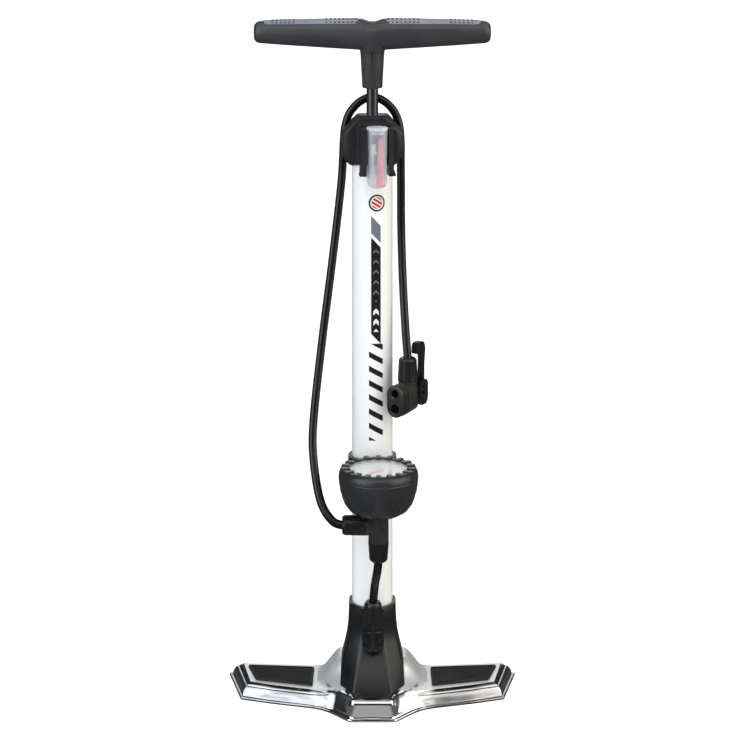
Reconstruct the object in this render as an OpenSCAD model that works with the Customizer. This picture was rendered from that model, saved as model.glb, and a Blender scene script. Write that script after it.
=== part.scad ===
// Floor bike pump: steel barrel on a pressed foot plate, side gauge, twin-head hose and tool vial.
// Frame: +Z up along the barrel, -Y towards the user, origin on the barrel axis at floor level.

/* [Barrel and rod] */
// Outer diameter of the barrel
barrel_d = 38; // [37.5:0.1:38.2]
// Wall thickness of the barrel
barrel_wall = 1.5; // [1.2:0.1:1.6]
// Diameter of the piston rod
rod_d = 11; // [10:0.1:11]
// Height of the barrel's top edge
barrel_top = 512; // [508:1:514]

/* [Handle] */
// Tip to tip width of the handle
handle_w = 224; // [200:1:260]
// Height of the handle's centre ridge
handle_top = 633.5; // [632:0.5:640]
// How far the arms sweep back at their tips
handle_sweep = 16; // [8:1:24]

/* [Foot] */
// Tip to tip width of the foot plate
foot_w = 274; // [260:1:300]
// Thickness of the pressed foot plate
foot_t = 1.6; // [1.2:0.1:2]

/* [Gauge] */
// Radius of the gauge housing
gauge_r = 36.3; // [36:0.1:37]
// Grip lugs around the bezel
bezel_lugs = 18; // [12:1:24]

/* [Hose] */
// Outer diameter of the hose
hose_d = 7.8; // [7:0.1:8]

/* [Chuck] */
// Radius of the car-valve port
schrader_r = 4; // [3.9:0.05:4.1]
// Radius of the road-valve port
presta_r = 3.2; // [3.1:0.05:3.3]

/* [Hidden] */

fine = 96;      // segments of a large round
round_n = 48;   // segments of a small round
soft_n = 32;    // segments of a round inside a hull
eps = 0.01;
fit = 0.05;     // radial running clearance

barrel_r = barrel_d / 2;
bore_r = barrel_r - barrel_wall;
rod_r = rod_d / 2;
hose_r = hose_d / 2;
hose_bore_r = 2.3;
nut_bore_r = 5.6;       // hose nuts leave room for the hose to lean
well_r = 5.2;           // round well that each hose end sits in

// Base collar heights
barrel_seat_z = 66;      // the barrel stands on this ledge
collar_top = 89;
collar_rim_r = 21.9;
hub_r = 16;              // hub that passes through the foot plate to the floor
deck_z = 36;             // crown of the foot plate around the hub
wing_z = 13.6;           // flat top of each wing
chamber_r = 4.2;
seat_z = 60;             // underside of the check-valve seat
ball_r = 3.2;
seat_hole_r = 2.4;
ball_z = seat_z - sqrt(ball_r * ball_r - seat_hole_r * seat_hole_r) - fit;
chamber_z = 44;
port_z = 54;
socket_y = -29.5;        // hose socket on the front of the collar
socket_x = 0.5;
socket_r = 10.3;
socket_z = 73;           // top of the socket, where the lower nut stands
passage_r = 2.2;         // air passage from the valve to the socket
lower_nut_r = 9;

// Gauge
gauge_x = 5.5;
gauge_y = -57;
seam_z = 222;            // housing meets bezel
lip_z = 230;
lug_w = 4.4;
dial_z = 225.8;
dial_r = 29;
stem_r = 9.2;
stem_z = 163;            // lower end of the stem
branch_z = 177.5;
branch_end = -33;        // end of the branch nut, from the gauge axis
gear_module = 0.5;
pinion_teeth = 10;
gear_ratio = 8;
sector_teeth = 11;
gear_z = 215;

// Top cap, vial and chuck
cap_bottom = 497.4;
cap_top = 543.8;
turn = 7;                // the cap and vial face slightly to one side
vial_y = -36.2;
vial_r = 9.8;
vial_z = 480;            // lower end of the vial
lid_z = 533;
vial_in = vial_r - 2.1;  // inner radius of the vial
bushing_r = 7.5;
chuck_at = [20.2, -35, 283.3];  // middle of the port face
chuck_yaw = -35;
port_gap = 6.9;          // each port's distance from the middle
chuck_depth = 30;
hose_in_y = 22;          // hose entry, measured back from the port face
seal_r = 5.9;
seal_y = 2;
seal_h = 10;
pin_y = 36;              // lever pivot
pin_z = -4;
pin_r = 1.5;
lug_r = 3.6;             // lugs that carry the lever's pin
cavity_h = 17.2;         // depth of the seal pockets
plunger_y = 15.2;        // front of the plunger's feet at rest
cam_r = 3;               // radius of the lever's cam

// ---------- helpers ----------

// Sweeps a ring of n points along a smooth curve through the control points
function spline_at(p, i, t) =
    let (a = p[max(i - 1, 0)], b = p[i], c = p[i + 1], d = p[min(i + 2, len(p) - 1)])
    0.5 * (2 * b + (c - a) * t + (2 * a - 5 * b + 4 * c - d) * t * t + (3 * b - a - 3 * c + d) * t * t * t);

function spline(p, steps) = concat(
    [for (i = [0:len(p) - 2]) for (s = [0:steps - 1]) spline_at(p, i, s / steps)],
    [p[len(p) - 1]]);

function unit(v) = v / norm(v);

function tangents(c) = [for (i = [0:len(c) - 1]) unit(c[min(i + 1, len(c) - 1)] - c[max(i - 1, 0)])];

// Carries the first side vector along the curve without twisting
function carry(t, i = 0, u = undef, out = []) =
    i == len(t) ? out :
    let (seed = is_undef(u) ? (abs(t[0][1]) < 0.9 ? [0, 1, 0] : [1, 0, 0]) : u,
         side = unit(seed - (seed * t[i]) * t[i]))
    carry(t, i + 1, side, concat(out, [side]));

function ring(c, t, u, r, n) =
    let (w = cross(t, u))
    [for (k = [0:n - 1]) c + r * cos(360 * k / n) * u + r * sin(360 * k / n) * w];

module sweep(curve, r, n) {
    t = tangents(curve);
    u = carry(t);
    m = len(curve);
    points = [for (i = [0:m - 1]) each ring(curve[i], t[i], u[i], r, n)];
    sides = [for (i = [0:m - 2]) for (k = [0:n - 1]) let (k2 = (k + 1) % n)
        each [[i * n + k, (i + 1) * n + k, (i + 1) * n + k2], [i * n + k, (i + 1) * n + k2, i * n + k2]]];
    ends = [[for (k = [0:n - 1]) k], [for (k = [n - 1:-1:0]) (m - 1) * n + k]];
    polyhedron(points, concat(sides, ends), convexity = 10);
}

// A hose as a closed tube: the curve runs past both ends of the bore cut
module hose(control, steps) {
    curve = spline(control, steps);
    first = curve[0] - unit(curve[1] - curve[0]);
    last = curve[len(curve) - 1];
    beyond = last + unit(last - curve[len(curve) - 2]);
    difference() {
        sweep(curve, hose_r, 14);
        sweep(concat([first], curve, [beyond]), hose_bore_r, 10);
    }
}

module tube(r_out, r_in, h) {
    difference() {
        cylinder(r = r_out, h = h, $fn = fine);
        translate([0, 0, -1])
            cylinder(r = r_in, h = h + 2, $fn = fine);
    }
}

module at_gauge() translate([gauge_x, gauge_y, 0]) children();
module at_cap() rotate([0, 0, turn]) children();
module at_chuck() translate(chuck_at) rotate([0, 0, chuck_yaw]) children();
function chuck_point(y, z) = chuck_at + [-sin(chuck_yaw) * y, cos(chuck_yaw) * y, z];
hose_in = chuck_point(hose_in_y, 0);

// ---------- foot ----------

tip_x = foot_w / 2;

// Ground outline of the plate, grown by g in each direction away from its middle
function foot_half(g) = [
    [21 + g / 2, -61 - g], [33 + g, -48 - g / 2], [39 + g / 2, -40 - g], [50, -33 - g],
    [95, -21 - g], [tip_x - 19 + g / 2, -13.6 - g], [tip_x - 15 + g, -10 - g / 2],
    [tip_x + g, 40 + g / 2], [tip_x - 4 + g / 2, 46 + g], [52, 39 + g]];
function mirror_points(p) = concat(p, [for (i = [len(p) - 1:-1:0]) [-p[i][0], p[i][1]]]);

// Extrudes from the floor up; a hollow (g < 0) starts below it so that it cuts right through
module from_floor(h, g) translate([0, 0, g < 0 ? -1 : 0]) linear_extrude(g < 0 ? h + 1 : h) children();

// One wing: from the flange to the flat top; g shrinks it for the hollow below
module wing(g) {
    hull() {
        from_floor(3, g)
            polygon([[20, -33 - g], [50, -31 - g], [95, -18.5 - g], [tip_x - 19, -10.5 - g],
                [tip_x - 17 + g, -8 - g], [tip_x - 3 + g, 38 + g], [tip_x - 6, 43 + g],
                [52, 36 + g], [20, 34 + g]]);
        from_floor(wing_z + g, g)
            polygon([[20, -24 - g], [53, -24 - g], [95, -12.5 - g], [tip_x - 24 + g, -5 - g],
                [tip_x - 12 + g, 36 + g], [tip_x - 16, 40 + g], [52, 32 + g], [20, 32 + g]]);
    }
}

// The crown around the hub and the nose in front of it
module crown(g) {
    hull() {
        from_floor(3, g)
            polygon([[-19 - g, -59 - g], [19 + g, -59 - g], [37 + g, -39 - g], [50 + g, -29 - g],
                [50 + g, 36 + g], [-50 - g, 36 + g], [-50 - g, -29 - g], [-37 - g, -39 - g]]);
        from_floor(19 + g, g)
            polygon([[-18 - g, -51 - g], [18 + g, -51 - g], [31 + g, -36 - g], [31 + g, 30],
                [-31 - g, 30], [-31 - g, -36 - g]]);
        from_floor(deck_z + g, g)
            polygon([[-29 - g, -16 - g], [29 + g, -16 - g], [29 + g, 24 + g], [-29 - g, 24 + g]]);
    }
}

module plate_form(g) {
    wing(g);
    mirror([1, 0, 0]) wing(g);
    crown(g);
}

screw_r = 23;
screw_angles = [30, 150, 205, 335];
module at_screws() for (a = screw_angles) rotate([0, 0, a]) translate([screw_r, 0, 0]) children();

// Pressed steel plate with a flat flange around its edge
module base_plate() {
    color("silver")
        difference() {
            union() {
                plate_form(0);
                linear_extrude(2.4)
                    polygon(mirror_points(foot_half(0)));
            }
            plate_form(-foot_t);
            translate([0, 0, -1])
                cylinder(r = hub_r + 0.3, h = deck_z + 5, $fn = fine);
            at_screws()
                cylinder(r = 2.2, h = deck_z + 5, $fn = round_n);
        }
}

// Ribbed rubber tread on the right wing
module tread() {
    color("#1c1c1e") {
        difference() {
            translate([0, 0, wing_z + fit])
                linear_extrude(2.2)
                    polygon([[55, -15], [108, -2], [111, 1], [118.5, 30], [116, 33], [56, 25.5], [53, 22],
                        [52.5, -12]]);
            for (k = [0:5])
                translate([57 + 10 * k, -12 + 2.3 * k, wing_z + 1.4])
                    cube([4, 34, 2]);
        }
    }
}
module left_foot_pad() mirror([1, 0, 0]) tread();
module right_foot_pad() tread();

// ---------- collar, valve and barrel ----------

// Moulded collar: socket for the barrel, hub to the floor, hose socket in front
module base_collar() {
    skirt_z = 52;
    color("#161618")
        difference() {
            union() {
                difference() {
                    union() {
                        rotate_extrude($fn = fine)
                            polygon([[0, 40], [26.5, 43], [24.8, 51], [23.5, 58], [22.3, 70],
                                [collar_rim_r, 77], [collar_rim_r, collar_top], [0, collar_top]]);
                        hull() {
                            translate([0, 0, 20])
                                linear_extrude(1)
                                    polygon([[-17.5, -44], [17.5, -44], [29.5, -27], [29.5, 26], [-29.5, 26],
                                        [-29.5, -27]]);
                            translate([0, 0, 36])
                                linear_extrude(1)
                                    polygon([[-14.5, -35.5], [14.5, -35.5], [29, -20], [29, 22], [-29, 22],
                                        [-29, -20]]);
                            translate([0, 0, skirt_z])
                                cylinder(r = 24.5, h = 1, $fn = soft_n);
                        }
                    }
                    translate([0, 0, 0.25])
                        crown(0.1);
                }
                cylinder(r = hub_r, h = deck_z + 6, $fn = fine);
                translate([socket_x, socket_y, 60])
                    cylinder(r = socket_r, h = socket_z - 60, $fn = round_n);
                translate([socket_x, socket_y, 60])
                    sphere(r = socket_r, $fn = round_n);
                translate([socket_x - 8, socket_y, 50])
                    cube([16, 10, socket_z - 50]);
            }
            translate([0, 0, barrel_seat_z])
                cylinder(r = barrel_r + fit, h = 40, $fn = fine);
            translate([0, 0, seat_z])
                cylinder(r = 12, h = 10, $fn = fine);
            translate([0, 0, chamber_z])
                cylinder(r = chamber_r, h = 30, $fn = round_n);
            translate([0, 0, barrel_seat_z - 1.4])
                tube(barrel_r, bore_r, 3);
            translate([0, 0, port_z])
                rotate([90, 0, 0])
                    cylinder(r = passage_r, h = -socket_y, $fn = round_n);
            translate([socket_x, socket_y, port_z - 1.5])
                cylinder(r = passage_r, h = 30, $fn = round_n);
            translate([socket_x, socket_y, 66])
                cylinder(r = well_r, h = 8, $fn = round_n);
            translate([socket_x, socket_y, socket_z])
                cylinder(r = lower_nut_r + 0.15, h = 20, $fn = round_n);
            for (s = [-1, 1])
                for (k = [0, 1])
                    translate([socket_x + s * (5.4 + 2.6 * k), socket_y - 9.5 + 3.4 * k, 62])
                        rotate([0, s * 14, 0])
                            cube([1, 3.2, 12], center = true);
            at_screws()
                translate([0, 0, deck_z])
                    cylinder(r = 1.6 + fit, h = 9.5, $fn = round_n);
        }
}

// Pan-head screws that hold the plate to the collar
module base_screws() {
    color("silver")
        at_screws()
            difference() {
                union() {
                    translate([0, 0, deck_z - foot_t - fit - 2.4])
                        cylinder(r = 3.6, h = 2.4, $fn = round_n);
                    translate([0, 0, deck_z - foot_t - 2])
                        cylinder(r = 1.6, h = 10, $fn = round_n);
                }
                translate([0, 0, deck_z - foot_t - 3.4])
                    cylinder(r = 1.5, h = 2, $fn = 6);
            }
}

module barrel() {
    color("white")
        translate([0, 0, barrel_seat_z])
            tube(barrel_r, bore_r, barrel_top - barrel_seat_z);
}

// Ring seal squeezed between the barrel's end and the collar
module barrel_seal() {
    color("#202020")
        translate([0, 0, barrel_seat_z - 0.7])
            rotate_extrude($fn = fine)
                translate([(barrel_r + bore_r) / 2, 0])
                    circle(r = 0.65, $fn = 24);
}

module valve_seat() {
    color("goldenrod")
        translate([0, 0, seat_z + fit])
            tube(12 - fit, seat_hole_r, barrel_seat_z - seat_z - 0.5);
}

module check_ball() {
    color("silver")
        translate([0, 0, ball_z])
            sphere(r = ball_r, $fn = round_n);
}

module check_spring() {
    coil_r = 2.6;
    wire_r = 0.3;
    turns = 5;
    bottom = chamber_z + 0.4;
    height = ball_z - ball_r - bottom - 0.45;
    steps = 16 * turns;
    curve = [for (i = [0:steps]) [
        coil_r * cos(360 * turns * i / steps), coil_r * sin(360 * turns * i / steps),
        bottom + height * i / steps]];
    color("silver")
        sweep(curve, wire_r, 8);
}

// ---------- hoses and fittings ----------

lower_nut_top = 98;
upper_nut_z = 145;       // lower end of the nut under the gauge
supply_path = [
    [socket_x, socket_y, 79], [socket_x, socket_y, 89], [socket_x + 0.2, socket_y - 0.8, 98],
    [socket_x + 1.8, socket_y - 9.5, 117], [gauge_x - 0.9, gauge_y + 5, 135], [gauge_x, gauge_y, 147],
    [gauge_x, gauge_y, 160]];

// Tapered sleeve nut over a hose, standing on its wide end
module sleeve_nut(r_wide, r_narrow, h, flutes) {
    difference() {
        union() {
            cylinder(r = r_wide, h = h * 0.3, $fn = round_n);
            translate([0, 0, h * 0.3])
                cylinder(r1 = r_wide, r2 = r_narrow, h = h * 0.6, $fn = round_n);
            translate([0, 0, h * 0.9])
                cylinder(r1 = r_narrow, r2 = r_narrow - 2, h = h * 0.1, $fn = round_n);
        }
        translate([0, 0, -1])
            cylinder(r = nut_bore_r, h = h + 2, $fn = round_n);
        if (flutes > 0)
            for (k = [0:flutes - 1])
                rotate([0, 0, 360 * k / flutes])
                    translate([r_wide + 0.6, 0, h * 0.12])
                        cylinder(r = 1.2, h = h * 0.76, $fn = 16);
    }
}

module lower_hose_nut() {
    color("#161618")
        translate([socket_x, socket_y, socket_z + fit])
            sleeve_nut(lower_nut_r, 8, lower_nut_top - socket_z, 0);
}

module supply_hose() {
    color("#141414")
        hose(supply_path, 8);
}

module upper_hose_nut() {
    color("#161618")
        at_gauge()
            translate([0, 0, stem_z - fit])
                rotate([180, 0, 0])
                    sleeve_nut(9.4, 8.4, stem_z - upper_nut_z, 0);
}

arch_y = 9;
leg_x = 25.8;
main_path = [
    [gauge_x + branch_end + 14, gauge_y, branch_z], [gauge_x + branch_end, gauge_y, branch_z],
    [-37.5, gauge_y + 1.5, 182], [-47.5, gauge_y + 8, 197.5], [-54, -36, 230], [-54.4, -25, 264],
    [-46.7, -10, 335], [-37.5, 0, 407], [-29, arch_y - 1, 481], [-leg_x, arch_y, 530], [-17, arch_y, 550],
    [0, arch_y + 1.5, 559], [17, arch_y, 550], [leg_x, arch_y, 530], [26.9, arch_y, 490],
    [27.1, arch_y - 1.5, 444], [27.9, 3.5, 407], [29.4, -4, 370], [31.3, -12.5, 338],
    [hose_in[0], hose_in[1] + 0.3, 319], [hose_in[0], hose_in[1], 306], [hose_in[0], hose_in[1], 295.6]];

module main_hose() {
    color("#141414")
        hose(main_path, 5);
}

// Brass barbs pressed into the hose ends
barb_r = 1.9;
barb_h = 7;
module barb() {
    difference() {
        union() {
            cylinder(r = barb_r, h = barb_h, $fn = round_n);
            translate([0, 0, -1])
                cylinder(r = barb_r + 2.4, h = 2, $fn = round_n);
        }
        translate([0, 0, -2])
            cylinder(r = 1.1, h = barb_h + 4, $fn = round_n);
    }
}
module hose_barbs() {
    color("goldenrod") {
        translate([socket_x, socket_y, 77.5])
            barb();
        at_gauge()
            translate([0, 0, 162.5])
                rotate([180, 0, 0])
                    barb();
        translate([gauge_x + branch_end + 16.5, gauge_y, branch_z])
            rotate([0, -90, 0])
                barb();
        translate([hose_in[0], hose_in[1], 294.3])
            barb();
    }
}

module outlet_nut() {
    color("#161618")
        translate([gauge_x - 11.5, gauge_y, branch_z])
            rotate([0, -90, 0])
                sleeve_nut(9.3, 8.8, -branch_end - 11.5, 12);
}

// ---------- gauge ----------

module gauge_housing() {
    color("#1b1b1d")
        at_gauge()
            difference() {
                union() {
                    rotate_extrude($fn = fine)
                        polygon([[0, 186], [9.3, 187], [17, 188], [24.5, 191], [31.2, 196], [34, 203],
                            [gauge_r, 208], [gauge_r, seam_z - fit], [0, seam_z - fit]]);
                    translate([0, 0, stem_z])
                        cylinder(r = stem_r, h = 26, $fn = round_n);
                    translate([0, 0, branch_z])
                        rotate([0, -90, 0])
                            cylinder(r = 8.8, h = 11.4, $fn = round_n);
                }
                rotate_extrude($fn = fine)
                    polygon([[0, 193], [22, 193], [28.5, 199], [33.6, 208], [33.6, seam_z + 2],
                        [0, seam_z + 2]]);
                translate([0, 0, 150])
                    cylinder(r = 2, h = 60, $fn = round_n);
                translate([0, 0, 150])
                    cylinder(r = well_r, h = 16, $fn = round_n);
                translate([0, 0, branch_z])
                    rotate([0, -90, 0])
                        cylinder(r = 2, h = 30, $fn = round_n);
                translate([-9, 0, branch_z])
                    rotate([0, -90, 0])
                        cylinder(r = well_r, h = 30, $fn = round_n);
            }
}

module gauge_bezel() {
    color("#1b1b1d")
        at_gauge()
            difference() {
                union() {
                    rotate_extrude($fn = fine)
                        polygon([[dial_r + 0.3, seam_z], [gauge_r, seam_z], [gauge_r - 0.4, 226],
                            [33.5, lip_z], [27.1, lip_z], [27.1, lip_z - 1.1], [dial_r + 0.3, lip_z - 1.1]]);
                    for (k = [0:bezel_lugs - 1])
                        rotate([0, 0, 360 * (k + 0.5) / bezel_lugs])
                            translate([26.2, -lug_w / 2, lip_z - 1])
                                cube([7.6, lug_w, 2]);
                }
                for (k = [0:bezel_lugs - 1])
                    for (s = [-1, 1])
                        rotate([0, 0, 360 * (k + 0.18 * s) / bezel_lugs])
                            translate([gauge_r + 0.1, 0, seam_z + 1])
                                cylinder(r = 0.5, h = 10, $fn = 16);
            }
}

module gauge_lens() {
    color([0.85, 0.9, 0.92, 0.35])
        at_gauge()
            translate([0, 0, dial_z + 1.5])
                cylinder(r = dial_r, h = lip_z - 1.2 - dial_z - 1.5, $fn = fine);
}

module gauge_dial() {
    color("white")
        at_gauge()
            difference() {
                translate([0, 0, dial_z - 1])
                    cylinder(r = dial_r, h = 1, $fn = fine);
                translate([0, 0, dial_z - 2])
                    cylinder(r = 1.4, h = 4, $fn = round_n);
            }
}

// Curved pressure tube, fed from the stem
module bourdon_tube() {
    tube_r = 25;
    color("goldenrod")
        at_gauge() {
            rotate([0, 0, 60])
                rotate_extrude(angle = 250, $fn = fine)
                    translate([tube_r, 203.5])
                        tube_oval();
            translate([0, 0, 193.3])
                cylinder(r = 6, h = 5.2, $fn = round_n);
            rotate([0, 0, 60]) {
                translate([0, -2.5, 193.3])
                    cube([21.5, 5, 4.6]);
                translate([17.5, -2.5, 193.3])
                    cube([4, 5, 12]);
                translate([17.5, -2.5, 201])
                    cube([7, 5, 4.3]);
            }
        }
}

// Oval section of the curved tube
module tube_oval() {
    intersection() {
        translate([-3, 0])
            circle(r = 5, $fn = round_n);
        translate([3, 0])
            circle(r = 5, $fn = round_n);
    }
}

gear_centre = gear_module * pinion_teeth * (1 + gear_ratio) / 2;

// Two plates that carry the needle shaft and the sector
module movement_frame() {
    color("goldenrod")
        at_gauge()
            difference() {
                union() {
                    for (z = [gear_z - 3.2, gear_z + 3])
                        translate([-5, -gear_centre - 5, z])
                            cube([10, gear_centre + 10, 1.2]);
                    for (y = [-gear_centre - 5, 3.5])
                        translate([-5, y, gear_z - 3.2])
                            cube([10, 1.5, 7.4]);
                    translate([-4, -4.5, 198.55])
                        cube([8, 3, gear_z - 3 - 198.55]);
                    for (x = [-3.4, 3.4])
                        translate([x, -12, gear_z + 3.5])
                            cylinder(r = 1.3, h = dial_z - 1.02 - gear_z - 3.5, $fn = round_n);
                }
                translate([0, 0, gear_z - 4])
                    cylinder(r = 0.8 + fit, h = 12, $fn = round_n);
                translate([0, -gear_centre, gear_z - 4])
                    cylinder(r = 0.9 + fit, h = 12, $fn = round_n);
            }
}

// Straight-flanked gear teeth between two pitch angles
function tooth(rp, m, a, w) = [
    [(rp - 0.9 * m) * cos(a - w * 0.66), (rp - 0.9 * m) * sin(a - w * 0.66)],
    [(rp + 0.7 * m) * cos(a - w * 0.3), (rp + 0.7 * m) * sin(a - w * 0.3)],
    [(rp + 0.7 * m) * cos(a + w * 0.3), (rp + 0.7 * m) * sin(a + w * 0.3)],
    [(rp - 0.9 * m) * cos(a + w * 0.66), (rp - 0.9 * m) * sin(a + w * 0.66)]];

module sector_gear() {
    rp = gear_module * pinion_teeth * gear_ratio / 2;
    pitch = 360 / (pinion_teeth * gear_ratio);
    last = 90 + pitch / 2;
    color("goldenrod")
        at_gauge()
            translate([0, -gear_centre, gear_z - 0.6]) {
                linear_extrude(1.2)
                    polygon(concat([[-1.8, 0], [1.8, 0]],
                        [for (k = [sector_teeth - 1:-1:0])
                            each tooth(rp, gear_module, last - k * pitch, pitch * 0.42)]));
                translate([0, 0, -2.8])
                    cylinder(r = 0.9, h = 7.4, $fn = round_n);
                translate([0, 0, -1])
                    cylinder(r = 2.6, h = 3.2, $fn = round_n);
            }
}

module needle_pinion() {
    rp = gear_module * pinion_teeth / 2;
    pitch = 360 / pinion_teeth;
    color("goldenrod")
        at_gauge() {
            translate([0, 0, gear_z - 1.2])
                linear_extrude(2.4)
                    polygon([for (k = [0:pinion_teeth - 1])
                        each tooth(rp, gear_module, -90 + k * pitch, pitch * 0.38)]);
            translate([0, 0, gear_z - 3.6])
                cylinder(r = 0.8, h = dial_z + 0.4 - gear_z + 3.6, $fn = round_n);
        }
}

module gauge_needle() {
    needle_zero = 225;   // the needle's rest angle
    color("firebrick")
        at_gauge()
            translate([0, 0, dial_z + 0.42])
                rotate([0, 0, needle_zero]) {
                    linear_extrude(0.5)
                        polygon([[-7, -1.2], [0, -1.5], [22, -0.35], [23, 0], [22, 0.35], [0, 1.5],
                            [-7, 1.2]]);
                    cylinder(r = 2.6, h = 0.7, $fn = round_n);
                }
}

// C-shaped clip around the barrel that steadies the gauge
module gauge_clip() {
    color("#161618")
        difference() {
            translate([0, 0, 210])
                tube(22.7, barrel_r + fit, 15);
            translate([-12, 5, 200])
                cube([24, 40, 40]);
            at_gauge()
                translate([0, 0, 190])
                    cylinder(r = gauge_r + fit, h = 50, $fn = fine);
        }
}

// ---------- top cap and rod ----------

cap_half = [[0, cap_top], [14, cap_top], [17.2, 540], [22.5, 535], [28, 529], [29.6, 526], [29.6, 511],
    [25.8, 503], [23, 500], [20.5, cap_bottom], [0, cap_bottom]];

groove_r = hose_r + 3;   // room for the hose where it leans over the cap's shoulder

module top_cap() {
    color("#161618")
        difference() {
            union() {
                intersection() {
                    translate([0, 60, 0])
                        rotate([90, 0, 0])
                            linear_extrude(120)
                                polygon(concat(cap_half,
                                    [for (i = [9:-1:1]) [-cap_half[i][0], cap_half[i][1]]]));
                    union() {
                        translate([0, 0, cap_bottom])
                            cylinder(r = 24, h = 60, $fn = fine);
                        translate([-30, -13, cap_bottom])
                            cube([60, 19, 60]);
                    }
                }
                at_cap()
                    translate([-15, -24.5, 501])
                        cube([30, 12, 37]);
            }
            translate([0, 0, cap_bottom - 1])
                cylinder(r = barrel_r + fit, h = barrel_top - cap_bottom + 1, $fn = fine);
            translate([0, 0, barrel_top - 1])
                cylinder(r = bore_r - 1, h = 8, $fn = fine);
            translate([0, 0, barrel_top])
                cylinder(r = bushing_r + fit, h = 60, $fn = fine);
            for (s = [-1, 1])
                translate([s * (leg_x + 0.6), arch_y, 480]) {
                    cylinder(r = groove_r, h = 90, $fn = round_n);
                    translate([-groove_r, 0, 0])
                        cube([2 * groove_r, 20, 90]);
                }
        }
}

module rod_bushing() {
    color("#3a3a3c")
        translate([0, 0, 521])
            difference() {
                cylinder(r = bushing_r, h = cap_top - 521, $fn = fine);
                translate([0, 0, -1])
                    cylinder(r = rod_r + fit, h = 60, $fn = fine);
            }
}

rod_bottom = 68;
rod_top = 612;
module piston_rod() {
    color("silver")
        translate([0, 0, rod_bottom])
            cylinder(r = rod_r, h = rod_top - rod_bottom, $fn = fine);
}

module piston_head() {
    color("#e8e8e8")
        translate([0, 0, 84 + fit])
            difference() {
                union() {
                    cylinder(r = bore_r - 0.4, h = 4, $fn = fine);
                    cylinder(r = 9, h = 12, $fn = fine);
                    translate([0, 0, 10])
                        cylinder(r = bore_r - 0.4, h = 4, $fn = fine);
                }
                translate([0, 0, -1])
                    cylinder(r = rod_r + fit, h = 20, $fn = fine);
            }
}

// Cup seal that opens downwards
module piston_seal() {
    color("#2a211c")
        rotate_extrude($fn = fine)
            polygon([[rod_r + fit, 80.5], [bore_r - 4, 80.5], [bore_r - 3, 79], [bore_r - 2, 74],
                [bore_r - fit, 74], [bore_r - fit, 82], [bore_r - 1.5, 84], [rod_r + fit, 84]]);
}

module piston_washer() {
    color("silver")
        translate([0, 0, 78.9])
            difference() {
                cylinder(r = 10, h = 1.5, $fn = fine);
                translate([0, 0, -1])
                    cylinder(r = rod_r + fit, h = 4, $fn = fine);
            }
}

module piston_nut() {
    color("silver")
        translate([0, 0, 71])
            difference() {
                cylinder(r = 9, h = 7.8, $fn = 6);
                translate([0, 0, -1])
                    cylinder(r = rod_r + fit, h = 10, $fn = fine);
            }
}

// ---------- handle ----------

arm_x = handle_w / 2;
grip_from = 12;

// A chamfered slice across the arm at x
module arm_slice(x, half_depth, low, high, c) {
    y = handle_sweep * max(x, 0) / arm_x;
    translate([x, y, 0])
        rotate([90, 0, 90])
            linear_extrude(0.5)
                polygon([[-half_depth + c, low], [half_depth - c, low], [half_depth, low + c],
                    [half_depth, high - c], [half_depth - c, high], [-half_depth + c, high],
                    [-half_depth, high - c], [-half_depth, low + c]]);
}

module arm(grow) {
    hull() {
        arm_slice(-2, 14.5 + grow, 604 - grow, handle_top - 0.5 + grow, 5);
        arm_slice(arm_x - 8, 12 + grow, 610 - grow, 630.5 + grow, 4.5);
        arm_slice(arm_x - 0.5, 8 + grow, 613 - grow, 627 + grow, 4);
    }
}

module grip_space(clear) {
    intersection() {
        arm(0.3 + clear);
        translate([grip_from - clear, -20, 626 - clear])
            cube([arm_x - grip_from - 8 + 2 * clear, 60, 20]);
    }
}

module handle_body() {
    color("#3c4047")
        difference() {
            union() {
                arm(0);
                mirror([1, 0, 0]) arm(0);
                translate([0, 0, 568.6])
                    cylinder(r1 = 9.5, r2 = 11.3, h = 40, $fn = round_n);
            }
            grip_space(fit);
            mirror([1, 0, 0]) grip_space(fit);
            translate([0, 0, 560])
                cylinder(r = rod_r + 0.02, h = rod_top - 560 + 0.1, $fn = fine);
        }
}
module right_grip() color("#4c5866") grip_space(0);
module left_grip() color("#4c5866") mirror([1, 0, 0]) grip_space(0);

// ---------- tool vial ----------

module vial_holder() {
    back_y = -24.6;
    leg_z = 491.5;
    color("#161618")
        at_cap()
            difference() {
                union() {
                    for (s = [0, 1])
                        mirror([s, 0, 0]) {
                            translate([vial_r + 0.4, vial_y - 6, leg_z])
                                cube([4.6, back_y - vial_y + 6, 535 - leg_z]);
                            translate([vial_r + 0.4, vial_y - 6, leg_z])
                                cube([6, 9, 3]);
                        }
                    translate([-14, back_y - 2.4, 501])
                        cube([28, 2.4, 34]);
                }
                translate([0, vial_y, 470])
                    cylinder(r = vial_r + 0.4, h = 70, $fn = fine);
            }
}

module vial_body() {
    color([0.85, 0.9, 0.95, 0.4])
        at_cap()
            translate([0, vial_y, 0])
                difference() {
                    union() {
                        translate([0, 0, vial_z + 3])
                            cylinder(r1 = vial_r - 0.7, r2 = vial_r, h = lid_z - vial_z - 3, $fn = fine);
                        translate([0, 0, vial_z])
                            cylinder(r1 = vial_r - 3, r2 = vial_r - 0.7, h = 3, $fn = fine);
                    }
                    translate([0, 0, vial_z + 1.4])
                        cylinder(r = vial_in, h = 60, $fn = fine);
                }
}

module vial_lid() {
    color([0.85, 0.9, 0.95, 0.5])
        at_cap()
            translate([0, vial_y, lid_z + fit]) {
                cylinder(r = vial_r + 0.15, h = 3, $fn = fine);
                translate([0, 0, -4])
                    tube(vial_in - fit, vial_in - 1.2, 4 + eps);
                translate([-3, -vial_r - 2.6, 0])
                    cube([6, 4, 2]);
            }
}

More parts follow.
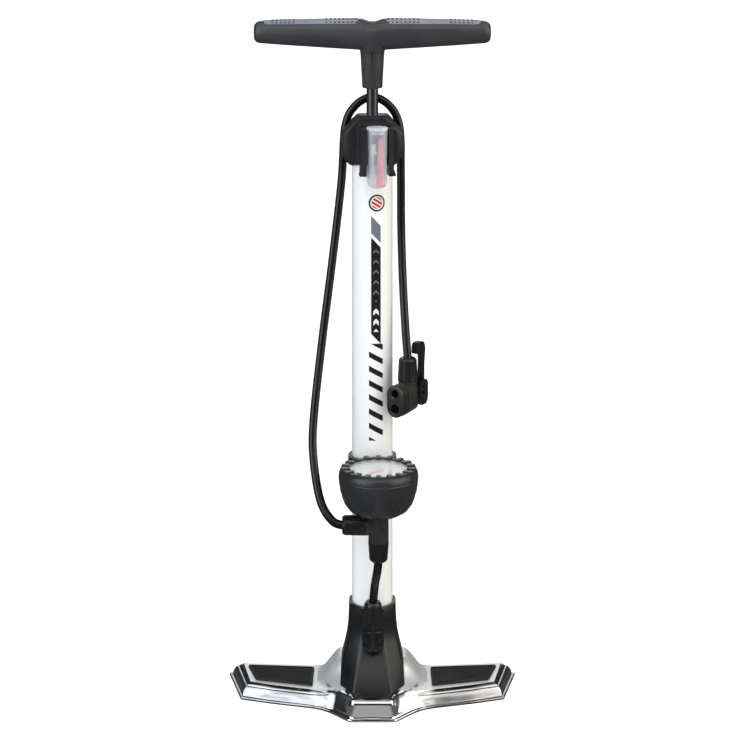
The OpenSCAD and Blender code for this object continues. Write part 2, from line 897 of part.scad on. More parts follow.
// Inflation needle for balls, kept head up: hollow shaft, flange and threaded end
module ball_needle() {
    shaft_h = 29.4;
    color("silver")
        at_cap()
            translate([-3.9, vial_y, vial_z + 1.6])
                difference() {
                    union() {
                        cylinder(r = 0.95, h = shaft_h + 1, $fn = round_n);
                        translate([0, 0, shaft_h])
                            cylinder(r = 3.4, h = 2.2, $fn = round_n);
                        translate([0, 0, shaft_h + 2])
                            cylinder(r = 2.6, h = 7.5, $fn = round_n);
                    }
                    translate([0, 0, 3])
                        cylinder(r = 0.45, h = 50, $fn = round_n);
                }
}

// Tapered adapter for pool toys
module cone_adapter() {
    color("crimson")
        at_cap()
            translate([3.3, vial_y, vial_z + 1.6])
                difference() {
                    cylinder(r1 = 4.2, r2 = 2.2, h = 44, $fn = round_n);
                    translate([0, 0, -1])
                        cylinder(r = 1.2, h = 50, $fn = round_n);
                }
}

// ---------- chuck ----------

nut_z = 15;              // underside of the hose nut, above the middle of the face

module chuck_nut() {
    color("#161618")
        translate([hose_in[0], hose_in[1], hose_in[2] + nut_z + fit])
            sleeve_nut(9.3, 8.4, 21.5, 0);
}

// A round bar lying along the ports
module along(r, y, h, x = 0, z = 0, n = round_n) {
    translate([x, y, z])
        rotate([-90, 0, 0])
            cylinder(r = r, h = h, $fn = n);
}

// A round bar lying across the ports, from x to x + w
module across(r, x, w, y, z) {
    translate([x, y, z])
        rotate([0, 90, 0])
            cylinder(r = r, h = w, $fn = round_n);
}

// Twin head: y points into the body, away from the port face
module chuck_body() {
    color("#161618")
        at_chuck()
            difference() {
                union() {
                    hull()
                        for (z = [-6, 6]) {
                            along(8.9, 0, 12, z = z, n = 24);
                            along(7.2, chuck_depth - 1, 1, z = z, n = 24);
                        }
                    translate([0, hose_in_y, 6])
                        cylinder(r = 7, h = nut_z - 6, $fn = round_n);
                    for (x = [-6.6, 3.1]) {
                        across(lug_r, x, 3.5, pin_y, pin_z);
                        translate([x, chuck_depth - 4, pin_z - lug_r])
                            cube([3.5, pin_y - chuck_depth + 4, 2 * lug_r]);
                    }
                }
                along(presta_r + 0.5, -1, 6, z = port_gap);
                along(schrader_r + 0.5, -1, 6, z = -port_gap);
                for (z = [-port_gap, port_gap])
                    along(seal_r + fit, seal_y, cavity_h, z = z);
                translate([-3.5, seal_y + seal_h, -port_gap])
                    cube([7, cavity_h - seal_h, 2 * port_gap]);
                along(2.3 + fit, 18, 14, z = pin_z);
                translate([0, 18.2, port_gap + 1])
                    cylinder(r = 1.6, h = 6, $fn = round_n);
                translate([0, hose_in_y, 9.6])
                    cylinder(r = well_r, h = 10, $fn = round_n);
                across(pin_r + fit, -12, 24, pin_y, pin_z);
            }
}

module seal(r, z) {
    color("#2c2c2e")
        at_chuck()
            difference() {
                along(seal_r, seal_y + fit, seal_h, z = z);
                along(r, seal_y - 1, seal_h + 3, z = z);
            }
}
module presta_seal() seal(presta_r, port_gap);
module schrader_seal() seal(schrader_r, -port_gap);

// Fork that the lever's cam drives against both seals
module chuck_plunger() {
    color("#8a8a8c")
        at_chuck() {
            for (z = [-port_gap, port_gap])
                along(5.6, plunger_y, 2, z = z);
            translate([-2.5, plunger_y, -port_gap - 1])
                cube([5, 3.4, 2 * port_gap + 2]);
            along(2.3, plunger_y + 1, pin_y - cam_r - fit - plunger_y - 1, z = pin_z);
        }
}

cheek_in = 7.6;
cheek_out = 9.4;
cam_offset = 1.6;
arm_w = 5.2;

// Thumb lever: two slotted cheeks, an arm beside the hose and a hooked tip
module chuck_lever() {
    color("#161618")
        at_chuck()
            difference() {
                union() {
                    for (x = [-cheek_out, cheek_in]) {
                        across(5, x, cheek_out - cheek_in, pin_y - 2, pin_z + 0.5);
                        translate([x, pin_y - 7, pin_z + 0.5])
                            cube([cheek_out - cheek_in, 13.2, 18]);
                    }
                    translate([-cheek_out, pin_y + 4.1, pin_z - 1])
                        cube([2 * cheek_out, 2.1, 19.5]);
                    translate([-arm_w / 2, pin_y + 5.6, 6])
                        cube([arm_w, 4.4, 42]);
                    translate([-arm_w / 2, pin_y - 4.5, 42])
                        cube([arm_w, 14.5, 6]);
                    translate([-arm_w / 2, pin_y - 4.5, 37])
                        cube([arm_w, 4, 8]);
                    across(cam_r, -arm_w / 2, arm_w, pin_y, pin_z);
                    across(cam_r, -arm_w / 2, arm_w, pin_y, pin_z - cam_offset);
                    translate([-arm_w / 2, pin_y, pin_z - 1])
                        cube([arm_w, 5, 4]);
                }
                across(pin_r + fit, -12, 24, pin_y, pin_z);
                for (k = [0, 1])
                    translate([-15, pin_y - 2.6, 0.7 + 5.6 * k])
                        cube([30, 2.6, 3.4]);
            }
}

module chuck_pin() {
    color("silver")
        at_chuck()
            across(pin_r, -cheek_out - 0.4, 2 * cheek_out + 0.8, pin_y, pin_z);
}

base_plate();
left_foot_pad();
right_foot_pad();
base_collar();
base_screws();
barrel();
barrel_seal();
valve_seat();
check_ball();
check_spring();
lower_hose_nut();
supply_hose();
upper_hose_nut();
gauge_clip();
gauge_housing();
gauge_bezel();
gauge_lens();
gauge_dial();
bourdon_tube();
movement_frame();
sector_gear();
needle_pinion();
gauge_needle();
outlet_nut();
main_hose();
hose_barbs();
top_cap();
rod_bushing();
piston_rod();
piston_head();
piston_seal();
piston_washer();
piston_nut();
handle_body();
left_grip();
right_grip();
vial_holder();
vial_body();
vial_lid();
ball_needle();
cone_adapter();
chuck_nut();
chuck_body();
presta_seal();
schrader_seal();
chuck_plunger();
chuck_lever();
chuck_pin();
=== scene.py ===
"""Floor bike pump: the visual model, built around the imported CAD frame.

Everything is in metres in the CAD's frame: +Z up along the barrel, -Y towards the user,
origin on the barrel axis at floor level. Shapes below are written in millimetres.
"""

import math

import bmesh
import bpy
from mathutils import Matrix, Vector


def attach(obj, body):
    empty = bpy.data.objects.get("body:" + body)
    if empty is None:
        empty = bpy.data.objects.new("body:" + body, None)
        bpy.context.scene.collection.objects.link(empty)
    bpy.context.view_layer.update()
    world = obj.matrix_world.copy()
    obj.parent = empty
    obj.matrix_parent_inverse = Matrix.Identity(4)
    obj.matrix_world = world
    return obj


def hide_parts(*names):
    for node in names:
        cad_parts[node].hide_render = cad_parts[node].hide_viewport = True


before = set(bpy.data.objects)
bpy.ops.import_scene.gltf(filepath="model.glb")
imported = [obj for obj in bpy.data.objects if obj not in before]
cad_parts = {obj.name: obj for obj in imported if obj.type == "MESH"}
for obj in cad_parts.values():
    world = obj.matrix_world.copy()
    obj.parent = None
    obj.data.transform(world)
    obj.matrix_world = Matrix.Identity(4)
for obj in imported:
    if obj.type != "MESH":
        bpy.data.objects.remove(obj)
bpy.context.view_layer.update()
MM = 0.001
PI = math.pi


# ---------------------------------------------------------------- shape helpers
def lerp(a, b, t):
    return a + (b - a) * t


def spline(points, steps):
    """Catmull-Rom curve through the points."""
    p = [Vector(q) for q in points]
    out = []
    for i in range(len(p) - 1):
        a, b, c, d = p[max(i - 1, 0)], p[i], p[i + 1], p[min(i + 2, len(p) - 1)]
        for s in range(steps):
            t = s / steps
            out.append(
                0.5 * (2 * b + (c - a) * t + (2 * a - 5 * b + 4 * c - d) * t * t
                       + (3 * b - a - 3 * c + d) * t ** 3)
            )
    out.append(p[-1])
    return out


def rounded(points, radius, steps=3):
    """Replaces each corner of a closed flat outline with a short curve."""
    p = [Vector((a, b, 0)) for a, b in points]
    out = []
    for i, q in enumerate(p):
        a, b = p[i - 1] - q, p[(i + 1) % len(p)] - q
        d = min(radius, a.length * 0.48, b.length * 0.48)
        start, end = q + a.normalized() * d, q + b.normalized() * d
        for k in range(steps + 1):
            t = k / steps
            out.append(start * (1 - t) ** 2 + q * (2 * t * (1 - t)) + end * t * t)
    return out


def obj_from(name, verts, faces, body, slot=None, angle=32, place=None):
    """A smooth-shaded mesh object from millimetre vertices, riding on a CAD body."""
    mesh = bpy.data.meshes.new(name)
    mesh.from_pydata([Vector(v) * MM for v in verts], [], faces)
    bm = bmesh.new()
    bm.from_mesh(mesh)
    bmesh.ops.remove_doubles(bm, verts=bm.verts, dist=1e-6)
    bmesh.ops.dissolve_degenerate(bm, edges=bm.edges, dist=1e-7)
    bmesh.ops.recalc_face_normals(bm, faces=bm.faces)
    bm.to_mesh(mesh)
    bm.free()
    if place is not None:
        mesh.transform(place)
    shade(mesh, angle)
    obj = bpy.data.objects.new(name, mesh)
    bpy.context.scene.collection.objects.link(obj)
    if body:
        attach(obj, body)
    return obj


def shade(mesh, angle):
    mesh.polygons.foreach_set("use_smooth", [True] * len(mesh.polygons))
    mesh.set_sharp_from_angle(angle=math.radians(angle))


def soften(obj, width, segments, angle):
    """Rounds the hard edges of a piece."""
    mesh = obj.data
    for e in mesh.edges:
        e.use_edge_sharp = False
    mod = obj.modifiers.new("soft_edges", "BEVEL")
    mod.width = width * MM
    mod.segments = segments
    mod.limit_method = "ANGLE"
    mod.angle_limit = math.radians(angle)
    mod.harden_normals = True


def strip(rows, closed_u=False, closed_v=False, flip=False):
    """Vertices and quads of a grid given as rows of points."""
    verts = [p for row in rows for p in row]
    m, n = len(rows), len(rows[0])
    faces = []
    for i in range(m if closed_v else m - 1):
        for j in range(n if closed_u else n - 1):
            a, b = i * n + j, i * n + (j + 1) % n
            c, d = ((i + 1) % m) * n + (j + 1) % n, ((i + 1) % m) * n + j
            faces.append((a, d, c, b) if flip else (a, b, c, d))
    return verts, faces


def merged(*parts):
    verts, faces = [], []
    for v, f in parts:
        base = len(verts)
        verts += list(v)
        faces += [tuple(i + base for i in q) for q in f]
    return verts, faces


def lathe(profile, segments=96, centre=(0, 0, 0), direction=None, closed=True, sweep=2 * PI, start=0.0):
    """Turns (radius, height) points about an axis through centre."""
    turn = Matrix.Identity(3) if direction is None else Vector(direction).to_track_quat("Z", "Y").to_matrix()
    c = Vector(centre)
    full = abs(sweep - 2 * PI) < 1e-6
    count = segments if full else segments + 1
    rows = []
    for k in range(count):
        a = start + sweep * k / segments
        rows.append([c + turn @ Vector((r * math.cos(a), r * math.sin(a), z)) for r, z in profile])
    verts, faces = strip(rows, closed_u=closed, closed_v=full)
    if not full and closed:
        n = len(profile)
        faces += [tuple(range(n)), tuple(range((count - 1) * n, count * n))]
    return verts, faces


def tube(curve, radius, bore, sides):
    """A round tube along a curve, open through its bore."""
    c = [Vector(p) for p in curve]
    tangents = [(c[min(i + 1, len(c) - 1)] - c[max(i - 1, 0)]).normalized() for i in range(len(c))]
    side = Vector((0, 1, 0)) if abs(tangents[0].y) < 0.9 else Vector((1, 0, 0))
    outer, inner = [], []
    for p, t in zip(c, tangents):
        side = (side - side.dot(t) * t).normalized()
        up = t.cross(side)
        ring = [math.cos(2 * PI * k / sides) * side + math.sin(2 * PI * k / sides) * up for k in range(sides)]
        outer.append([p + radius * q for q in ring])
        inner.append([p + bore * q for q in ring])
    return strip(outer + inner[::-1], closed_u=True, closed_v=True)


def loft(rings):
    """Skin over closed rings that all have the same number of points, with both ends closed."""
    verts, faces = strip(rings, closed_u=True)
    n, last = len(rings[0]), (len(rings) - 1) * len(rings[0])
    return verts, faces + [tuple(range(n)), tuple(range(last, last + n))]


def border(rows, columns):
    """Indices of a grid's outer points, in order round it."""
    last = (rows - 1) * columns
    return ([j for j in range(columns)] + [i * columns + columns - 1 for i in range(1, rows)]
            + [last + j for j in range(columns - 2, -1, -1)] + [i * columns for i in range(rows - 2, 0, -1)])


def turned(profile, segments=96, **where):
    """A solid turned from a profile that starts and ends on the axis."""
    return lathe(profile, segments, closed=False, **where)


def rod(radius, z0, z1, segments=64, **where):
    """A plain round bar or bore between two heights."""
    return turned([(0, z0), (radius, z0), (radius, z1), (0, z1)], segments, **where)


def block(lo, hi):
    (x0, y0, z0), (x1, y1, z1) = lo, hi
    return loft([[(x0, y0, z), (x1, y0, z), (x1, y1, z), (x0, y1, z)] for z in (z0, z1)])


def extrude(outline, z0, z1):
    return loft([[(p[0], p[1], z) for p in outline] for z in (z0, z1)])


def across(outline, x0, x1):
    """A flat (y, z) outline stretched from side to side."""
    return loft([[(x, p[0], p[1]) for p in outline] for x in (x0, x1)])


def mirrored(part):
    verts, faces = part
    return [(-v[0], v[1], v[2]) for v in verts], [f[::-1] for f in faces]


def moved(part, matrix):
    verts, faces = part
    return [matrix @ Vector(v) for v in verts], faces


def cut(obj, part, operation="DIFFERENCE"):
    """Cuts a closed form out of a piece, or joins it on, and keeps the result as its mesh."""
    tool = obj_from("tool", part[0], part[1], None)
    mod = obj.modifiers.new("cut", "BOOLEAN")
    mod.object, mod.operation, mod.solver = tool, operation, "EXACT"
    bake(obj)
    bpy.data.objects.remove(tool)


def bake(obj):
    """Applies a piece's modifiers to its mesh."""
    deps = bpy.context.evaluated_depsgraph_get()
    deps.update()
    mesh = bpy.data.meshes.new_from_object(obj.evaluated_get(deps))
    obj.modifiers.clear()
    obj.data = mesh


# ---------------------------------------------------------------- materials
class Nodes:
    """A short way to write node trees."""

    def __init__(self, name):
        self.mat = bpy.data.materials.new(name)
        self.mat.use_nodes = True
        self.tree = self.mat.node_tree
        self.bsdf = self.tree.nodes["Principled BSDF"]
        self.coord = self.tree.nodes.new("ShaderNodeTexCoord").outputs["Object"]

    def node(self, kind, inputs=None, **props):
        n = self.tree.nodes.new("ShaderNode" + kind)
        for k, v in props.items():
            setattr(n, k, v)
        for k, v in (inputs or {}).items():
            if hasattr(v, "is_linked"):
                self.tree.links.new(v, n.inputs[k])
            else:
                n.inputs[k].default_value = v
        return n

    def math(self, op, a, b=0.0):
        return self.node("Math", {0: a, 1: b, 2: 0.0}, operation=op).outputs[0]

    def mul(self, a, b):
        return self.math("MULTIPLY", a, b)

    def add(self, a, b):
        return self.math("ADD", a, b)

    def size(self, a):
        return self.math("ABSOLUTE", a)

    def axes(self, vector):
        split = self.node("SeparateXYZ", {0: vector})
        return tuple(split.outputs[k] for k in "XYZ")

    def bump(self, strength, depth, height, **under):
        inputs = {"Strength": strength, "Distance": depth, "Height": height}
        return self.node("Bump", {**inputs, **under}).outputs[0]

    def noise(self, scale, detail=3.0, stretch=None):
        vector = self.coord
        if stretch:
            vector = self.node("Mapping", {"Vector": vector, "Scale": stretch}).outputs[0]
        return self.node("TexNoise", {"Vector": vector, "Scale": scale, "Detail": detail}).outputs["Fac"]

    def ramp(self, value, lo, hi, to_lo=0.0, to_hi=1.0):
        return self.node("MapRange", {0: value, 1: lo, 2: hi, 3: to_lo, 4: to_hi}).outputs[0]

    def mix(self, fac, a, b):
        return self.node("Mix", {0: fac, 6: a, 7: b}, data_type="RGBA").outputs[2]

    def set(self, **inputs):
        names = {"colour": "Base Color", "rough": "Roughness", "metal": "Metallic", "coat": "Coat Weight",
                 "coat_rough": "Coat Roughness", "normal": "Normal", "alpha": "Alpha",
                 "spec": "Specular IOR Level"}
        for k, v in inputs.items():
            socket = self.bsdf.inputs[names[k]]
            if hasattr(v, "is_linked"):
                self.tree.links.new(v, socket)
            else:
                socket.default_value = v


def rgb(value):
    """Linear colour from an sRGB hex string."""
    out = []
    for i in (0, 2, 4):
        c = int(value[i:i + 2], 16) / 255
        out.append(c / 12.92 if c <= 0.04045 else ((c + 0.055) / 1.055) ** 2.4)
    return (*out, 1.0)


def edge_mask(m, radius, gain):
    """About 0 on flat areas and 1 along edges, from how far a rounded normal turns."""
    soft = m.node("Bevel", {"Radius": radius * MM}, samples=4).outputs[0]
    hard = m.node("NewGeometry").outputs["Normal"]
    dot = m.node("VectorMath", {0: soft, 1: hard}, operation="DOT_PRODUCT").outputs["Value"]
    return m.ramp(dot, 1.0, 1.0 - 1.0 / gain)


def moulded(name, colour, light, rough, grain=0.25, scale=900, coat=0.0, wear=0.0, streak=None, spec=0.3):
    """Moulded plastic or rubber: fine grain, cloudy tone, slightly rubbed edges."""
    m = Nodes(name)
    cloud = m.noise(38, 4)
    fine = m.noise(scale, 2, streak)
    tone = m.mix(m.ramp(cloud, 0.35, 0.7), rgb(colour), rgb(light))
    if wear:
        tone = m.mix(m.mul(edge_mask(m, 0.5, 4), wear), tone, rgb("8a8a88"))
    speck = m.ramp(m.noise(scale * 2.2, 1), 0.62, 0.8, 0.0, 0.012)
    tone = m.mix(speck, tone, rgb("77777a"))
    r = m.add(m.ramp(cloud, 0.3, 0.7, rough - 0.05, rough + 0.06),
               m.ramp(fine, 0.3, 0.7, -0.04, 0.05))
    m.set(colour=tone, rough=r, normal=m.bump(grain, 0.0002, fine), coat=coat, coat_rough=0.3, spec=spec)
    return m.mat


def metal(name, colour, rough, scratch, bump, brushed=None):
    """Plated or bare metal with faint scratches and a slightly uneven sheen."""
    m = Nodes(name)
    cloud = m.noise(22, 5)
    fine = m.noise(700, 3, brushed)
    marks = m.ramp(m.noise(160, 8, (0.15, 1.4, 0.6)), 0.58, 0.66)
    dark = tuple(c * 0.85 for c in rgb(colour)[:3]) + (1.0,)
    r = m.add(m.ramp(cloud, 0.3, 0.7, rough, rough + scratch), m.mul(marks, scratch))
    m.set(colour=m.mix(cloud, dark, rgb(colour)), metal=1.0, rough=r, normal=m.bump(bump, 0.0002, fine))
    return m.mat


def clear(name, tint, rough, alpha, milky):
    """Thin clear plastic: a see-through film with a milky tone and a glossy face."""
    m = Nodes(name)
    cloud = m.noise(60, 3)
    facing = m.node("LayerWeight", {"Blend": 0.42}).outputs["Facing"]
    a = m.ramp(m.add(facing, m.mul(cloud, 0.12)), 0.05, 0.95, alpha, min(1.0, alpha + 0.5))
    tone = m.mix(cloud, rgb(tint), (milky, milky, milky, 1.0))
    m.set(colour=tone, rough=rough, alpha=a, normal=m.bump(0.06, 0.0003, m.noise(240, 2)))
    return m.mat


MAT = {
    "plastic": moulded("black_plastic", "191a1b", "212223", 0.30, grain=0.04, wear=0.10),
    "charcoal": moulded("charcoal_plastic", "242326", "2c2b2e", 0.38, grain=0.12, wear=0.10),
    "silver": moulded("plated_pin", "cdcac2", "dad7cf", 0.28, grain=0.05, spec=0.9),
    "gloss": moulded("dark_moulding", "242527", "2b2c2e", 0.28, grain=0.04, wear=0.14, spec=0.45),
    "chuck": moulded("head_plastic", "262524", "2f2d2b", 0.32, grain=0.05, wear=0.12, spec=0.45),
    "fitting": moulded("fitting_plastic", "121314", "18191a", 0.28, grain=0.04, wear=0.14, spec=0.42),
    "hose": moulded("hose_rubber", "080809", "0d0d0e", 0.22, grain=0.08, scale=500, streak=(1, 1, 0.2),
                    spec=0.4),
    "tread": moulded("tread_rubber", "0c0d0e", "141516", 0.50, grain=0.4, scale=600, streak=(0.12, 1, 1)),
    "rubber": moulded("seal_rubber", "101011", "1b1b1c", 0.6, grain=0.4),
    "handle": moulded("handle_plastic", "303034", "38383d", 0.36, grain=0.02, scale=700, wear=0.12, spec=0.5),
    "grip": moulded("grip_rubber", "7c808c", "8a8e9a", 0.55, grain=0.5, scale=800),
    "nylon": moulded("natural_plastic", "cfcdc2", "dedcd2", 0.45, grain=0.15),
    "leather": moulded("cup_leather", "2a211c", "382c25", 0.65, grain=0.5),
    "pink": moulded("red_plastic", "f4586c", "fb7486", 0.35, grain=0.08, coat=0.2),
    "rod": metal("dark_steel", "6a6a6c", 0.2, 0.08, 0.06, brushed=(1, 1, 0.02)),
    "steel": metal("bright_steel", "c4c3bf", 0.16, 0.08, 0.06, brushed=(1, 1, 0.02)),
    "brass": metal("yellow_brass", "c59a45", 0.24, 0.12, 0.05),
    "red": moulded("needle_red", "c01f1f", "cf2b28", 0.4, grain=0.05),
    "vial": clear("vial_plastic", "cbdaf3", 0.12, 0.16, 0.98),
    "lid": clear("lid_plastic", "e6ebf5", 0.2, 0.55, 0.9),
    "lens": clear("lens_plastic", "f2f6f7", 0.05, 0.03, 0.95),
    "ink": moulded("dial_ink", "1b1b1d", "262628", 0.5, grain=0.05),
}


def paint(obj, key):
    obj.data.materials.clear()
    obj.data.materials.append(MAT[key] if isinstance(key, str) else key)


def stands_for(obj, node, key):
    """Paints a piece and lets it take the place of a CAD node."""
    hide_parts(node)
    paint(obj, key)


# ---------------------------------------------------------------- foot plate
# Corners of half the plate, from the middle of the front round to the middle of the rear:
# top edge (x, y, z), foot of the side wall (x, y), outer edge of the flange (x, y)
FRONT = [
    ((0, -51, 19), (0, -59), (0, -61)),
    ((18, -51, 19), (19, -59), (21, -61)),
    ((31, -35, 18), (37, -39), (39.5, -40.5)),
    ((52, -22.8, 13.6), (50.5, -30.8), (50, -33)),
    ((95, -11, 13.6), (95, -18.5), (95, -21)),
    ((114, -4, 13.6), (120.5, -9.5), (122.5, -12)),
]
REAR = [
    ((0, 31, 19), (0, 36), (0, 39)),
    ((18, 31, 19), (19, 36), (21, 39)),
    ((31, 31, 18), (37, 36), (39.5, 39)),
    ((52, 32, 13.6), (52, 36), (52, 39)),
    ((95, 36, 13.6), (95, 39.9), (95, 42.6)),
    ((123, 38.5, 13.6), (133.5, 41.5), (137, 44)),
]
WING_X, WING_Z = 52.0, 13.6      # where the flat wings begin, and their height
DECK_Z = 36.0
DECK_FRONT, DECK_REAR, DECK_X = -6.0, 24.0, 29.0
FLANGE_Z = 2.4
FILLET = [0, 3.0, 5.0, 9.0, 6.0, 0]     # rounding of each corner in plan
STEPS = 14                       # divisions of the top, and of the wall at the wing's tip


def plate_columns(corners):
    """Seven numbers per column: top edge, wall foot and flange edge, with each corner rounded."""
    raw = [list(t) + list(b) + list(f) for t, b, f in corners]

    def at(a, b, t):
        return [lerp(x, y, t) for x, y in zip(a, b)]

    out = [raw[0]]
    for i in range(1, len(raw)):
        a, b = raw[i - 1], raw[i]
        length = math.dist(a[3:5], b[3:5])
        d0 = min(FILLET[i - 1] / length, 0.45)
        d1 = min(FILLET[i] / length, 0.45)
        for k in range(0 if d0 else 1, 5):
            out.append(at(a, b, lerp(d0, 1 - d1, k / 4)))
        if d1:
            nxt = raw[i + 1]
            d2 = min(FILLET[i] / math.dist(b[3:5], nxt[3:5]), 0.45)
            p, q = at(b, a, d1), at(b, nxt, d2)
            for k in range(1, 4):
                t = k / 4
                out.append([x * (1 - t) ** 2 + y * 2 * t * (1 - t) + z * t * t for x, y, z in zip(p, b, q)])
    return out


def hump(x):
    """Height of the plate's ridge: flat wings that sweep up to the deck."""
    t = min(max((WING_X - x) / (WING_X - DECK_X), 0), 1)
    return lerp(WING_Z, DECK_Z, smooth(t) * 0.75 + t * 0.25)


def smooth(t):
    t = min(max(t, 0.0), 1.0)
    return t * t * (3 - 2 * t)


def plate_top(front, rear):
    """Rows of the top from the front edge to the rear edge in one column."""
    fx, fy, fz = front[:3]
    rx, ry, rz = rear[:3]
    out = []
    for k in range(STEPS + 1):
        t = k / STEPS
        x, y = lerp(fx, rx, t), lerp(fy, ry, t)
        ridge = hump(x)
        if k in (0, STEPS):
            z = rz if k else fz
        elif y < DECK_FRONT:
            z = lerp(fz, ridge, ((y - fy) / (DECK_FRONT - fy)) ** 2) if fy < DECK_FRONT else ridge
        elif y > DECK_REAR:
            z = lerp(ridge, rz, smooth((y - DECK_REAR) / (ry - DECK_REAR)))
        else:
            z = ridge
        out.append(Vector((x, y, z)))
    return out


# sections of the side wall: share of the way in from its foot, share of the height
NOSE_WALL = [(0.01, 0.14), (0.03, 0.29), (0.06, 0.46), (0.09, 0.62), (0.13, 0.77), (0.16, 0.80), (0.18, 0.80),
             (0.20, 0.815), (0.28, 0.88), (0.36, 0.925), (0.46, 0.95), (0.74, 0.98), (1.0, 1.0)]
FACET_WALL = [(0.08, 0.10), (0.16, 0.20), (0.24, 0.30), (0.32, 0.40), (0.40, 0.50), (0.48, 0.59),
              (0.56, 0.67), (0.62, 0.73), (0.68, 0.79), (0.74, 0.84), (0.82, 0.90), (0.90, 0.955), (1.0, 1.0)]
WING_WALL = [(0.04, 0.11), (0.073, 0.20), (0.12, 0.31), (0.18, 0.40), (0.25, 0.49), (0.323, 0.57),
             (0.40, 0.64), (0.43, 0.655), (0.55, 0.665), (0.575, 0.695), (0.66, 0.79), (0.84, 0.88),
             (1.0, 1.0)]
WALL_Z = 4.4         # top of the fillet between the flange and the wall


def wall_section(x):
    """Blend of the wall sections for a wall foot at distance x from the middle."""
    facet, wing = smooth((x - 18.5) / 4), smooth((x - 38) / 12)
    return [(lerp(lerp(n[0], f[0], facet), w[0], wing), lerp(lerp(n[1], f[1], facet), w[1], wing))
            for n, f, w in zip(NOSE_WALL, FACET_WALL, WING_WALL)]


def side_wall(col):
    """Section from the flange's outer edge up to the top edge, lowest first."""
    tx, ty, tz, bx, by, fx, fy = col
    inward = Vector((bx - fx, by - fy, 0)).normalized()
    f, b, t = Vector((fx, fy, 0)), Vector((bx, by, 0)), Vector((tx, ty, 0))
    flange = [(f, 0, 0), (f, 0, 1.5), (f, 0.35, 2.2), (f, 0.7, FLANGE_Z), (b, -1.1, FLANGE_Z),
              (b, -0.6, 2.6), (b, -0.2, 3.3), (b, 0, WALL_Z)]
    out = [p + inward * step + Vector((0, 0, z)) for p, step, z in flange]
    for share, rise in wall_section(abs(bx)):
        p = b.lerp(t, share)
        p.z = lerp(WALL_Z, tz, rise)
        out.append(p)
    return out


def half_plate():
    front, rear = plate_columns(FRONT), plate_columns(REAR)
    top = [plate_top(f, r) for f, r in zip(front, rear)]
    # the tip wall joins the last front column to the last rear one
    a, b = front[-1], rear[-1]
    tip = [side_wall([lerp(x, y, k / STEPS) for x, y in zip(a, b)]) for k in range(STEPS + 1)]
    tip[0], tip[-1] = side_wall(a), side_wall(b)
    walls = [[side_wall(c) for c in front], [side_wall(c) for c in rear], tip]
    return merged(strip(top), *[strip(rows) for rows in walls])


right = half_plate()
base_plate = obj_from("foot_plate", *merged(right, mirrored(right)), "stand", "chrome_plate", angle=24)
bevel = base_plate.modifiers.new("tip_edges", "BEVEL")
bevel.width, bevel.segments, bevel.limit_method = 1.3 * MM, 3, "ANGLE"
bevel.angle_limit = math.radians(34)
shell = base_plate.modifiers.new("sheet", "SOLIDIFY")
shell.thickness, shell.offset = 1.5 * MM, -1
bake(base_plate)
for hole in [(0, 0, 16.3)] + [
    (23 * math.cos(math.radians(a)), 23 * math.sin(math.radians(a)), 2.2) for a in (30, 150, 205, 335)
]:
    cut(base_plate, moved(rod(hole[2], -5, 50, 48), Matrix.Translation((hole[0], hole[1], 0))))
shade(base_plate.data, 30)
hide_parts("base_plate")


def plate_material():
    """Chrome that turns to a satin finish on the crown and the flat tops of the wings, with dark reflection
    streaks painted into the chrome's colour on the wings.
    """
    m = Nodes("plated_foot")
    normal = m.node("NewGeometry").outputs["Normal"]
    x, y, z = m.axes(m.coord)
    flat = m.ramp(m.axes(normal)[2], 0.9, 0.95)
    on_wing = m.mul(flat, m.ramp(z, 0.0128, 0.0133))
    behind_nose = m.ramp(y, -0.0365, -0.034)
    on_crown = m.mul(m.ramp(z, 0.0165, 0.0178), behind_nose)
    root = m.mul(m.ramp(m.size(x), 0.040, 0.043), m.ramp(z, 0.0134, 0.0137))
    mask = m.math("MAXIMUM", m.math("MAXIMUM", m.mul(on_wing, behind_nose), on_crown), root)
    cloud = m.noise(24, 5)
    grain = m.noise(650, 3, (0.06, 1, 1))
    marks = m.ramp(m.noise(170, 8, (0.2, 1.5, 0.6)), 0.6, 0.68)
    satin_rough = m.add(m.ramp(cloud, 0.3, 0.7, 0.30, 0.42), m.ramp(grain, 0.3, 0.7, -0.05, 0.05))
    chrome_rough = m.add(m.ramp(cloud, 0.3, 0.7, 0.03, 0.06), m.mul(marks, 0.03))
    rough = m.node("Mix", {0: mask, 2: chrome_rough, 3: satin_rough}).outputs[0]
    # painted reflection: dark streaks painted into the chrome's colour on the wings, while the middle of the
    # plate keeps a plain bright chrome
    painted_reflection_streaks = m.ramp(m.noise(420, 3, (0.03, 0.3, 1)), 0.46, 0.60)
    painted_streak_zone = m.ramp(m.size(x), 0.036, 0.042)
    chrome = m.mix(painted_streak_zone, rgb("f4f4f5"), m.mix(painted_reflection_streaks, rgb("aeaeaf"), rgb("929294")))
    tone = m.mix(mask, chrome, m.mix(cloud, rgb("e0e2e4"), rgb("eaecee")))
    ripple = m.bump(0.05, 0.0006, m.noise(55, 2))
    fine = m.bump(0.05, 0.0002, grain, Normal=ripple)
    m.set(colour=tone, metal=m.ramp(mask, 0.0, 1.0, 1.0, 0.5), rough=rough, normal=fine)
    return m.mat


paint(base_plate, plate_material())


